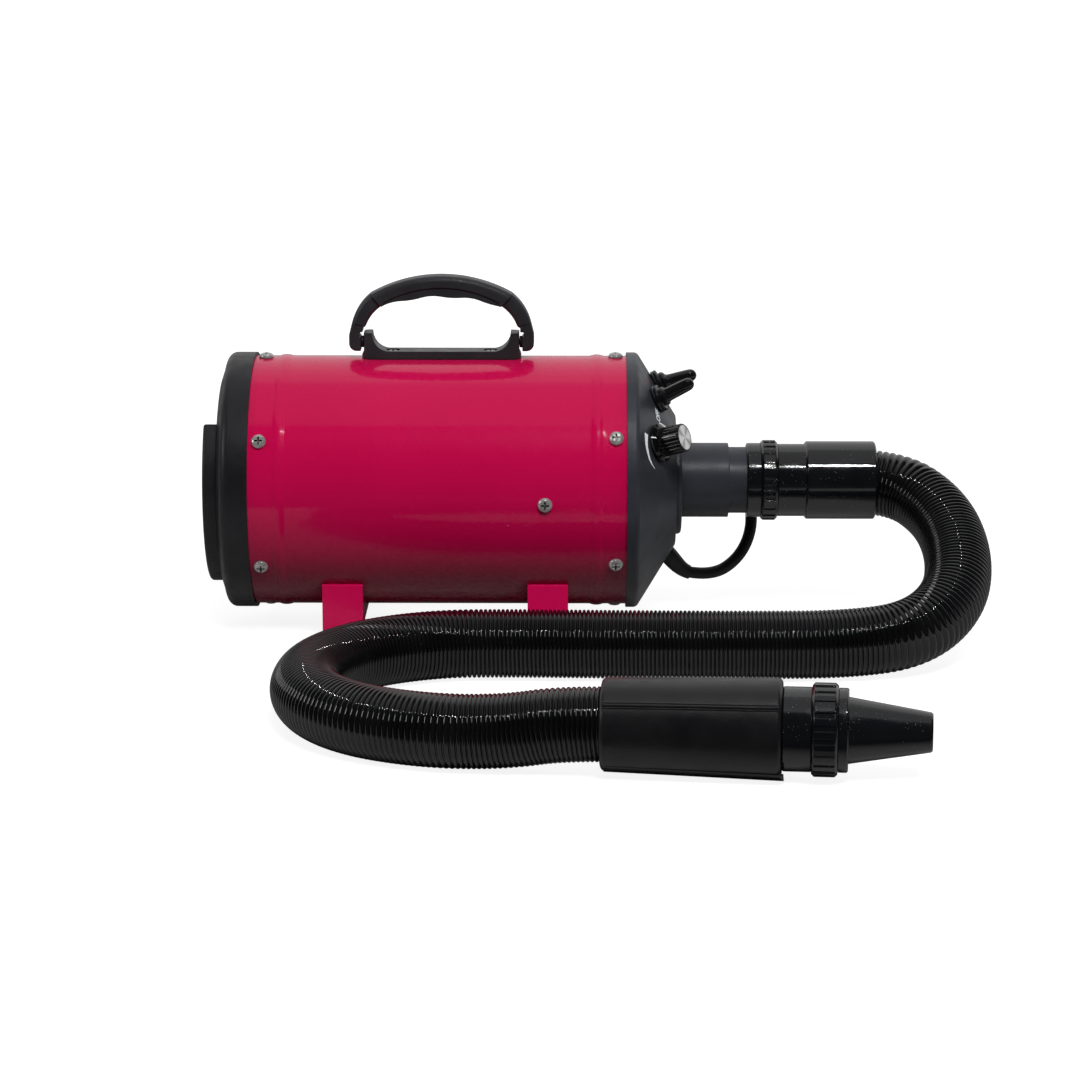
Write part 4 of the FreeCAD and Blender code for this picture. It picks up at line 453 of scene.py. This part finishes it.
def lofted(name, rings):
    """A closed mesh from rings of points with the same count each."""
    count = len(rings[0])
    faces = []
    for i in range(len(rings) - 1):
        for j in range(count):
            k = (j + 1) % count
            faces.append((i * count + j, i * count + k, (i + 1) * count + k, (i + 1) * count + j))
    faces.append(tuple(reversed(range(count))))
    faces.append(tuple((len(rings) - 1) * count + j for j in range(count)))
    mesh = meshed(name, [p for ring in rings for p in ring], faces)
    smooth_faces(mesh)
    made = linked(name, mesh)
    fix_normals(made)
    return made


def strip_faces(count):
    """The faces of a strip whose corners come in pairs."""
    return [(2 * k, 2 * k + 1, 2 * k + 3, 2 * k + 2) for k in range(count)]


def flat_piece(name, corners, faces, finish, body):
    mesh = meshed(name, corners, faces)
    piece = linked(name, mesh)
    mesh.materials.append(materials[finish])
    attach(piece, body)
    return piece


# Routes

SAME_PLACE, SHORT_OF_END = 1e-6, 1e-9


def spline_points(name, route):
    """A curve object on a route's control points, and points read from its spline."""
    data = bpy.data.curves.new(name, "CURVE")
    data.dimensions = "3D"
    spline = data.splines.new("NURBS")
    spline.points.add(len(route) - 1)
    for point, place in zip(spline.points, route):
        point.co = (*place, 1)
    spline.order_u = 3
    spline.use_endpoint_u = True
    spline.resolution_u = 16
    obj = linked(name, data)
    bpy.context.view_layer.update()
    mesh = bpy.data.meshes.new_from_object(obj)
    points = [v.co.copy() for v in mesh.vertices]
    bpy.data.meshes.remove(mesh)
    return obj, points


class Track:
    """Places, directions and steady frames along a line of points."""

    def __init__(self, points):
        self.points = [points[0]]
        for point in points[1:]:
            if (point - self.points[-1]).length > SAME_PLACE:
                self.points.append(point)
        self.last = len(self.points) - 1
        self.at = [0.0]
        for a, b in zip(self.points, self.points[1:]):
            self.at.append(self.at[-1] + (b - a).length)
        self.length = self.at[-1]
        heading = (self.points[1] - self.points[0]).normalized()
        side = heading.orthogonal().normalized()
        self.sides = []
        for k in range(len(self.points)):
            ahead = self.points[min(k + 1, self.last)] - self.points[max(k - 1, 0)]
            ahead.normalize()
            side = (side - ahead * side.dot(ahead)).normalized()
            self.sides.append(side.copy())

    def frame(self, distance):
        """Point, heading and two side vectors at a distance from the start."""
        distance = min(max(distance, 0.0), self.length - SHORT_OF_END)
        k = max(bisect.bisect_left(self.at, distance), 1)
        part = (distance - self.at[k - 1]) / (self.at[k] - self.at[k - 1])
        point = self.points[k - 1].lerp(self.points[k], part)
        before = self.points[k] - self.points[max(k - 2, 0)]
        after = self.points[min(k + 1, self.last)] - self.points[k - 1]
        heading = before.normalized().lerp(after.normalized(), part).normalized()
        side = self.sides[k - 1].lerp(self.sides[k], part)
        side = (side - heading * side.dot(heading)).normalized()
        return point, heading, side, heading.cross(side)


# Grip at the hose's free end, in millimetres

GRIP_START, GRIP_Z = Vector((71.1, -367.8)), FLOOR + 28.9
GRIP_YAW = math.radians(-5)
SLEEVE_LENGTH = 102.6
SLEEVE_NARROW, SLEEVE_WIDE = 26.7, 28.8


def on_grip(distance):
    """A point on the free end's axis, at a distance from the sleeve's start."""
    return mm(GRIP_START.x + distance * math.cos(GRIP_YAW),
              GRIP_START.y + distance * math.sin(GRIP_YAW), GRIP_Z)


def on_sleeve(distance, angle, offset, height):
    """A point by the sleeve's surface. Angle 0 is level on the near side, and 90 is the top;
    the offset goes round the sleeve from there, and the height outwards."""
    reach = min(distance, SLEEVE_LENGTH)
    radius = SLEEVE_NARROW + (SLEEVE_WIDE - SLEEVE_NARROW) * reach / SLEEVE_LENGTH
    near = Vector((math.sin(GRIP_YAW), -math.cos(GRIP_YAW), 0))
    turn = math.radians(angle + math.degrees(offset / radius))
    outward = near * math.cos(turn) + UP * math.sin(turn)
    return on_grip(distance) + outward * (radius + height) * MM


# Hose: sizes in millimetres

HOSE_CREST, HOSE_VALLEY = 21.6, 19.5
HOSE_PITCH = 2.62
HOSE_AROUND, RIB_STEPS = 56, 8    # corners round the hose, and rows along each rib
HOSE_FLOOR = FLOOR + 21.7         # its middle, where it lies on the floor
BEND_STEP, BEND_SPAN = 0.5, 16    # the bend is measured over this many steps either way
BEND_LIMIT = 0.45
HOSE_ROUTE = [
    mm(227.6, 0, 0), mm(267.6, 0, 0), mm(296.6, -30.6, -14.9), mm(305.6, -72, -35.1),
    mm(298.6, -113.3, -55.3), mm(270.6, -144.8, -70), mm(225.6, -154, HOSE_FLOOR),
    mm(158.6, -155.5, HOSE_FLOOR), mm(83.6, -155, HOSE_FLOOR), mm(20.6, -152.5, HOSE_FLOOR),
    mm(-30.4, -154, HOSE_FLOOR), mm(-77.8, -181.3, HOSE_FLOOR), mm(-105.1, -228.7, HOSE_FLOOR),
    mm(-105.1, -283.3, HOSE_FLOOR), mm(-77.8, -330.7, HOSE_FLOOR), mm(-30.4, -357, HOSE_FLOOR),
    mm(15, -361.5, HOSE_FLOOR + 0.6), on_grip(-20), on_grip(14),
]


def rib_places(track):
    """Distances along the hose at which each rib starts: the ribs open where it bends."""
    step = BEND_STEP * MM
    count = int(track.length / step)
    headings = [track.frame(k * step)[1] for k in range(count + 1)]
    phase, places, following = 0.0, [0.0], 1.0
    for k in range(count):
        first, last = max(k - BEND_SPAN, 0), min(k + BEND_SPAN, count)
        bend = headings[first].angle(headings[last]) / ((last - first) * step)
        pitch = HOSE_PITCH * MM / (1 - min(HOSE_CREST * MM * bend, BEND_LIMIT))
        phase += step / pitch
        while phase >= following:
            places.append((k + 1) * step - (phase - following) * pitch)
            following += 1
    return places


def rib_profile():
    """Radii along one rib: a round crest between sharp valleys."""
    crest, valley = HOSE_CREST * MM, HOSE_VALLEY * MM
    profile = []
    for k in range(RIB_STEPS):
        from_crest = min(k, RIB_STEPS - k) / (RIB_STEPS / 2)
        profile.append(valley + (crest - valley) * math.sqrt(1 - from_crest ** 2))
    return profile


def hose_mesh(track):
    """The corrugated wall. Its ribs run round in a shallow screw, so the last corner of a row
    joins the first one of the row a rib further on."""
    places, profile = rib_places(track), rib_profile()
    rows = (len(places) - 2) * RIB_STEPS
    corners = []
    for i in range(rows):
        for j in range(HOSE_AROUND):
            turn = i / RIB_STEPS + j / HOSE_AROUND
            rib = int(turn)
            distance = places[rib] + (places[rib + 1] - places[rib]) * (turn - rib)
            place, heading, side, other = track.frame(distance)
            angle = 2 * math.pi * j / HOSE_AROUND
            outward = side * math.cos(angle) + other * math.sin(angle)
            corners.append(place + outward * profile[i % RIB_STEPS])
    faces = []
    for i in range(rows - 1):
        for j in range(HOSE_AROUND):
            a, b = i * HOSE_AROUND + j, i * HOSE_AROUND + j + 1
            if j == HOSE_AROUND - 1:
                if i + RIB_STEPS + 1 >= rows:
                    continue
                b = (i + RIB_STEPS) * HOSE_AROUND
            faces.append((a, b, b + HOSE_AROUND, a + HOSE_AROUND))
    return meshed("corrugated_hose", corners, faces)


def make_hose():
    line, points = spline_points("hose_line", HOSE_ROUTE)
    bpy.data.objects.remove(line)
    track = Track(points)
    mesh = hose_mesh(track)
    smooth_faces(mesh)
    hose = linked("corrugated_hose", mesh)
    fix_normals(hose)
    mesh.materials.append(materials["hose"])
    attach(hose, "machine")
    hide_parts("hose")


# Mains lead: out of its relief, down behind the machine and into a neat coil. Millimetres.

CORD_RADIUS = 4
CORD_FLOOR = FLOOR + 4.1    # its middle, where it lies on the floor
RELIEF_END = metres(cone_point(58, -116) + Vector((20.4, 7.9, -18.6)))
CORD_ROUTE = [
    RELIEF_END, RELIEF_END + MM * Vector((16, 3, -3.3)), RELIEF_END + MM * Vector((34, 5.5, 8.5)),
    RELIEF_END + MM * Vector((43, 9, 28)), RELIEF_END + MM * Vector((41, 13, 50.5)),
    RELIEF_END + MM * Vector((27.5, 19, 69)), RELIEF_END + MM * Vector((7, 30, 76.5)),
    mm(122, 82, 3), mm(106, 100, -8), mm(92, 110, -27), mm(82, 114, -51), mm(71, 112, -75),
    mm(50.5, 103.2, CORD_FLOOR),
]
COIL_X = 3.6
COIL_CENTRE = Vector((COIL_X, 150))
COIL_START = math.radians(-62)
COIL_RINGS = [(52, 0), (44, 0), (44, 8), (52, 8), (44, 16), (52, 16)]    # radius and height
COIL_POINTS, COIL_SHIFT = 14, 4    # points in a turn, and those that lead to the next ring
CORD_END = [mm(COIL_X, 97.6, CORD_FLOOR + 16), mm(-14, 97.9, CORD_FLOOR + 15.8),
            mm(COIL_X - 32.3, 98, FLOOR + 18.8)]


def coil_points():
    """The turns of the put-away cord, wound clockwise from where the lead comes in."""
    points = []
    swell = 4 / (3 + math.cos(2 * math.pi / COIL_POINTS))    # the spline runs inside its points
    for turn, (radius, lift) in enumerate(COIL_RINGS):
        next_radius, next_lift = COIL_RINGS[min(turn + 1, len(COIL_RINGS) - 1)]
        for k in range(COIL_POINTS):
            share = max(0.0, (k - COIL_POINTS + COIL_SHIFT) / COIL_SHIFT)
            r = (radius + (next_radius - radius) * share) * swell
            angle = COIL_START - 2 * math.pi * k / COIL_POINTS
            points.append(mm(COIL_CENTRE.x + r * math.cos(angle),
                             COIL_CENTRE.y + r * math.sin(angle),
                             CORD_FLOOR + lift + (next_lift - lift) * share))
    return points


def make_cord():
    cord, points = spline_points("mains_cord", CORD_ROUTE + coil_points() + CORD_END)
    cord.data.bevel_depth = CORD_RADIUS * MM
    cord.data.bevel_resolution = 6
    cord.data.materials.append(materials["rubber"])
    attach(cord, "machine")
    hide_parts("power_cord", "cord_coil")


# Toggle boots: sizes in millimetres, angles and tilts in degrees

BOOT_PROFILE = [    # radius and height
    (9.4, 0.0), (9.4, 1.5), (9.1, 1.9), (8.8, 2.0), (8.75, 2.3), (9.05, 2.4), (9.1, 3.9),
    (8.8, 4.35), (8.1, 4.5), (6.2, 4.7), (5.8, 5.0), (5.85, 5.3), (6.3, 5.5), (6.45, 6.3),
    (6.3, 6.9), (5.7, 7.3), (5.0, 7.6), (4.7, 8.3), (4.62, 10), (4.55, 13), (4.45, 17),
    (4.35, 21), (4.2, 23.4), (4.0, 24.7), (3.45, 25.8), (2.6, 26.8), (1.4, 27.4), (0.35, 27.6),
]
BOOT_AROUND = 40
LEAN_START, LEAN_LENGTH = 4.6, 3.6
BOOTS = [("front", 66.0, 0.0), ("rear", 90.0, -16.0)]    # side, angle, tilt


def make_boot(side, angle, tilt):
    """A one-piece rubber boot: flange and bell on the cone, and a finger that leans by a given
    tilt.
    """
    base = cone_point(TOGGLE_STATION, angle)
    out, up, across = cone_axes(angle)
    rings = []
    for radius, height in BOOT_PROFILE:
        share = min(max((height - LEAN_START) / LEAN_LENGTH, 0.0), 1.0)
        share = share * share * (3 - 2 * share)
        lean = Matrix.Rotation(math.radians(tilt) * share, 3, across)
        ring = []
        for k in range(BOOT_AROUND):
            spin = 2 * math.pi * k / BOOT_AROUND
            outward = up * math.cos(spin) + across * math.sin(spin)
            ring.append(metres(base + lean @ (out * height + outward * radius)))
        rings.append(ring)
    boot = lofted(side + "_boot", rings)
    boot.data.materials.append(materials["boot"])
    smooth = boot.modifiers.new("smooth", "SUBSURF")
    smooth.levels = smooth.render_levels = 1
    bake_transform(boot)
    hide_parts(side + "_toggle_boot", side + "_toggle_finger")


# Prints round the controls: sizes in millimetres, angles in degrees

WORD_PLACE = (63.8, 52.8)             # station and angle
WORD_SIZE, WORD_BOLD = 5.6, 0.16
WORD_WIDER, WORD_TALLER = 0.92, 1.25
WORD_MIDDLE, WORD_LEAN = 2.0, 12
BARS = [    # name, start and end as station and angle, width, finish
    ("off_tick", (62.2, 47.9), (55.2, 50.1), 1.5, "print"),
    ("speed_two_a", (76.4, 72.7), (72.4, 71.1), 0.45, "red_print"),
    ("speed_two_b", (74.6, 75.2), (71.0, 74.3), 0.45, "red_print"),
    ("speed_one", (52.4, 69.9), (48.3, 69.6), 0.45, "red_print"),
]
BAR_STEPS, SCALE_STEPS = 6, 28
SCALE_RADIUS, SCALE_WIDTH = 18.3, 4.2
SCALE_START, SCALE_SWEEP = -3, 77
SCALE_TAPER = 0.9
POINTER_LEAN, POINTER_HALF = 3, 0.4
POINTER_LINE = [(12.68, 1.4), (12.66, 2.33), (10.6, 3.78), (10.0, 3.8)]    # radius and height


def make_off_word():
    curve = bpy.data.curves.new("off_word", "FONT")
    curve.body = "OFF"
    curve.size = WORD_SIZE
    curve.offset = WORD_BOLD
    curve.align_x = "CENTER"
    maker = linked("off_word_maker", curve)
    bpy.context.view_layer.update()
    flat = bpy.data.meshes.new_from_object(maker)
    bpy.data.objects.remove(maker)
    lean = math.radians(WORD_LEAN)
    corners = []
    for vertex in flat.vertices:
        x, y = vertex.co.x * WORD_WIDER, (vertex.co.y - WORD_MIDDLE) * WORD_TALLER
        corners.append(printed(*WORD_PLACE, y * math.cos(lean) + x * math.sin(lean),
                               x * math.cos(lean) - y * math.sin(lean)))
    faces = [tuple(face.vertices) for face in flat.polygons]
    flat_piece("off_word", corners, faces, "print", "machine")


def make_bar(name, start, end, width, finish):
    """A straight printed line between two places on the cone."""
    corners = []
    for k in range(BAR_STEPS + 1):
        share = k / BAR_STEPS
        station = start[0] + (end[0] - start[0]) * share
        angle = start[1] + (end[1] - start[1]) * share
        for side in (-1, 1):
            corners.append(printed(station, angle, 0, side * width / 2))
    flat_piece(name, corners, strip_faces(BAR_STEPS), finish, "machine")


def make_speed_scale():
    """A swelling arc beside the knob."""
    corners = []
    for k in range(SCALE_STEPS + 1):
        share = k / SCALE_STEPS
        turn = math.radians(SCALE_START + SCALE_SWEEP * share)
        inner = SCALE_RADIUS - SCALE_WIDTH * (1 - share) ** SCALE_TAPER
        for radius in (SCALE_RADIUS, inner):
            corners.append(printed(KNOB_STATION, KNOB_ANGLE, radius * math.cos(turn),
                                   -radius * math.sin(turn)))
    flat_piece("speed_scale", corners, strip_faces(SCALE_STEPS), "print", "machine")


def make_pointer():
    """The white line down the knob's skirt."""
    out, up, across = cone_axes(KNOB_ANGLE)
    turn = math.radians(POINTER_LEAN)
    ahead = up * math.cos(turn) + across * math.sin(turn)
    side = out.cross(ahead)
    base = cone_point(KNOB_STATION, KNOB_ANGLE)
    corners = []
    for radius, height in POINTER_LINE:
        for half in (-POINTER_HALF, POINTER_HALF):
            corners.append(metres(base + ahead * radius + side * half + out * height))
    flat_piece("knob_pointer", corners, strip_faces(len(POINTER_LINE) - 1), "print", "knob")


# Trim of the foam-rubber sleeve: profiles are offsets round it and heights, in millimetres

TRIM_STEPS = 34
SEAM_ANGLE, LAP_ANGLE = 39, -60
SEAM_INSET = 1.6
SEAM_SWAY, SEAM_WAVE = 0.10, 0.05
SEAM_PROFILE = [
    (-2.6, -0.15), (-1.9, 0.42), (-1.45, 0.50), (-1.3, 0.03), (-0.95, 0.03), (-0.8, 0.72),
    (0.55, 0.72), (0.7, 0.03), (1.05, 0.03), (1.2, 0.46), (1.7, 0.40), (2.4, -0.15),
]
LAP_START, LAP_LENGTH = 2, 102.0
LAP_THIN, LAP_SWELL = 0.35, 0.65
LAP_PROFILE = [(-6.5, -0.25), (-6.0, 0.6), (-5.0, 0.85), (5.0, 0.85), (6.0, 0.6), (6.5, -0.25)]


def make_sleeve_seam():
    """The split along the sleeve: two grooves in a raised seam."""
    corners, faces = [], []
    for k in range(TRIM_STEPS + 1):
        distance = SEAM_INSET + (SLEEVE_LENGTH - 2 * SEAM_INSET) * k / TRIM_STEPS
        sway = SEAM_SWAY * math.sin(distance * SEAM_WAVE)
        for offset, height in SEAM_PROFILE:
            corners.append(on_sleeve(distance, SEAM_ANGLE, offset + sway, height))
    count = len(SEAM_PROFILE)
    for k in range(TRIM_STEPS):
        for j in range(count - 1):
            a = k * count + j
            faces.append((a, a + count, a + count + 1, a + 1))
    seam = flat_piece("sleeve_seam", corners, faces, "sleeve", "machine")
    smooth_faces(seam.data)
    fix_normals(seam)


def make_sleeve_lap():
    """The glued lap under the sleeve, thicker towards the nozzle."""
    rings = []
    for k in range(TRIM_STEPS + 1):
        distance = LAP_START + LAP_LENGTH * k / TRIM_STEPS
        thick = LAP_THIN + LAP_SWELL * k / TRIM_STEPS
        rings.append([on_sleeve(distance, LAP_ANGLE, offset, height * thick)
                      for offset, height in LAP_PROFILE])
    lap = lofted("sleeve_lap", rings)
    lap.data.materials.append(materials["sleeve"])
    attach(lap, "machine")


# Stage and light. A band is where it starts and ends, and its values there.

FLOOR_CORNERS = [(-30, -12, 0), (30, -12, 0), (30, 60, 0), (-30, 60, 0)]
FLOOR_DROP = 0.0002
FLOOR_SEEN, FLOOR_BOUNCE = 0.30, 0.11        # its colour for the camera and for light
TABLE_BAND = (-0.44, -0.40, 0.02, 0.32)      # its colour in gloss, along Y: dark in front
GLOW_BAND = (0.5, 2.5, 0.88, 1.03)           # its glow for the camera, along Y
WORLD_SEEN, WORLD_FILL = 1.0, 0.11           # its strength for the camera and for light
BOX_BAND = (0.86, 0.90, 0.015, 0.34)         # its strength in gloss, upwards: a soft box
BEHIND_BAND = (0.30, 0.55, 0.0, 0.62)        # and along Y: white behind
LAMPS = [    # name, place, size, power, what it points at, whether gloss shows it
    ("key", (0.45, -1.9, 2.25), (1.2, 0.9), 64, (0.05, -0.1, 0.08), False),
    ("top", (0.05, 0.3, 1.8), (2.0, 1.2), 2, (0.05, 0, 0.05), False),
    ("rear", (-0.3, 2.2, 1.5), (2.0, 1.2), 26, (0, 0, 0.08), False),
    ("left", (-1.9, -0.7, 1.1), (0.45, 0.6), 6, (0, 0, 0.1), True),
    ("right", (1.8, -0.8, 0.7), (0.8, 1.2), 3, (0.1, 0, 0.1), False),
    ("spark", (0.43, -1.5, 2.2), (0.08, 0.08), 7.5, (0.1, -0.1, 0.05), True),
]


def light_mix(tree, camera, glossy, other):
    """A strength or colour for what the camera sees, for what gloss shows and for the rest."""
    path = tree.nodes.new("ShaderNodeLightPath")
    shine = tree.nodes.new("ShaderNodeMath")
    shine.operation = "MAXIMUM"
    tree.links.new(path.outputs["Is Glossy Ray"], shine.inputs[0])
    tree.links.new(path.outputs["Is Transmission Ray"], shine.inputs[1])
    result = other
    for fac, value in ((shine.outputs[0], glossy), (path.outputs["Is Camera Ray"], camera)):
        mix = tree.nodes.new("ShaderNodeMix")
        tree.links.new(fac, mix.inputs[0])
        for socket, item in ((mix.inputs[2], result), (mix.inputs[3], value)):
            if isinstance(item, (int, float)):
                socket.default_value = item
            else:
                tree.links.new(item, socket)
        result = mix.outputs[0]
    return result


def band(tree, value, start, end, low, high):
    """A smooth step between two numbers along a value."""
    made = tree.nodes.new("ShaderNodeMapRange")
    made.interpolation_type = "SMOOTHSTEP"
    for name, number in (("From Min", start), ("From Max", end), ("To Min", low),
                         ("To Max", high)):
        made.inputs[name].default_value = number
    tree.links.new(value, made.inputs["Value"])
    return made.outputs["Result"]


def split_place(tree, kind):
    """X, Y and Z of a texture coordinate."""
    where = tree.nodes.new("ShaderNodeTexCoord")
    split = tree.nodes.new("ShaderNodeSeparateXYZ")
    tree.links.new(where.outputs[kind], split.inputs[0])
    return split.outputs


def make_floor():
    """A floor that glows white for the camera, with a grey part that takes the shadows."""
    mesh = meshed("floor", FLOOR_CORNERS, [(0, 1, 2, 3)])
    floor = linked("floor", mesh)
    floor.location.z = -FLOOR_DROP
    mat = bpy.data.materials.new("floor")
    mat.use_nodes = True
    tree = mat.node_tree
    tree.nodes.clear()
    out = tree.nodes.new("ShaderNodeOutputMaterial")
    diffuse = tree.nodes.new("ShaderNodeBsdfDiffuse")
    glow = tree.nodes.new("ShaderNodeEmission")
    added = tree.nodes.new("ShaderNodeAddShader")
    place = split_place(tree, "Object")
    table = band(tree, place["Y"], *TABLE_BAND)
    tree.links.new(light_mix(tree, FLOOR_SEEN, table, FLOOR_BOUNCE), diffuse.inputs["Color"])
    bright = band(tree, place["Y"], *GLOW_BAND)
    tree.links.new(light_mix(tree, bright, 0.0, 0.0), glow.inputs["Strength"])
    tree.links.new(diffuse.outputs[0], added.inputs[0])
    tree.links.new(glow.outputs[0], added.inputs[1])
    tree.links.new(added.outputs[0], out.inputs["Surface"])
    mesh.materials.append(mat)


def make_world():
    """White for the camera and even for light. In gloss, dark in front, a soft box above and
    white behind."""
    world = bpy.data.worlds.new("studio")
    bpy.context.scene.world = world
    world.use_nodes = True
    tree = world.node_tree
    back = tree.nodes["Background"]
    back.inputs["Color"].default_value = (1, 1, 1, 1)
    place = split_place(tree, "Generated")
    total = tree.nodes.new("ShaderNodeMath")
    total.operation = "ADD"
    tree.links.new(band(tree, place["Z"], *BOX_BAND), total.inputs[0])
    tree.links.new(band(tree, place["Y"], *BEHIND_BAND), total.inputs[1])
    strength = light_mix(tree, WORLD_SEEN, total.outputs[0], WORLD_FILL)
    tree.links.new(strength, back.inputs["Strength"])


def make_lamps():
    for name, place, size, power, target, shows in LAMPS:
        lamp = bpy.data.lights.new(name, "AREA")
        lamp.shape = "RECTANGLE"
        lamp.size, lamp.size_y = size
        lamp.energy = power
        obj = linked(name, lamp)
        obj.location = place
        aim(obj, Vector(target) - Vector(place))
        obj.visible_glossy = shows


materials = make_materials()
make_camera()
make_floor()
make_world()
make_lamps()
dress_nodes()
make_hose()
make_cord()
for boot_row in BOOTS:
    make_boot(*boot_row)
make_off_word()
for bar_row in BARS:
    make_bar(*bar_row)
make_speed_scale()
make_pointer()
make_sleeve_seam()
make_sleeve_lap()
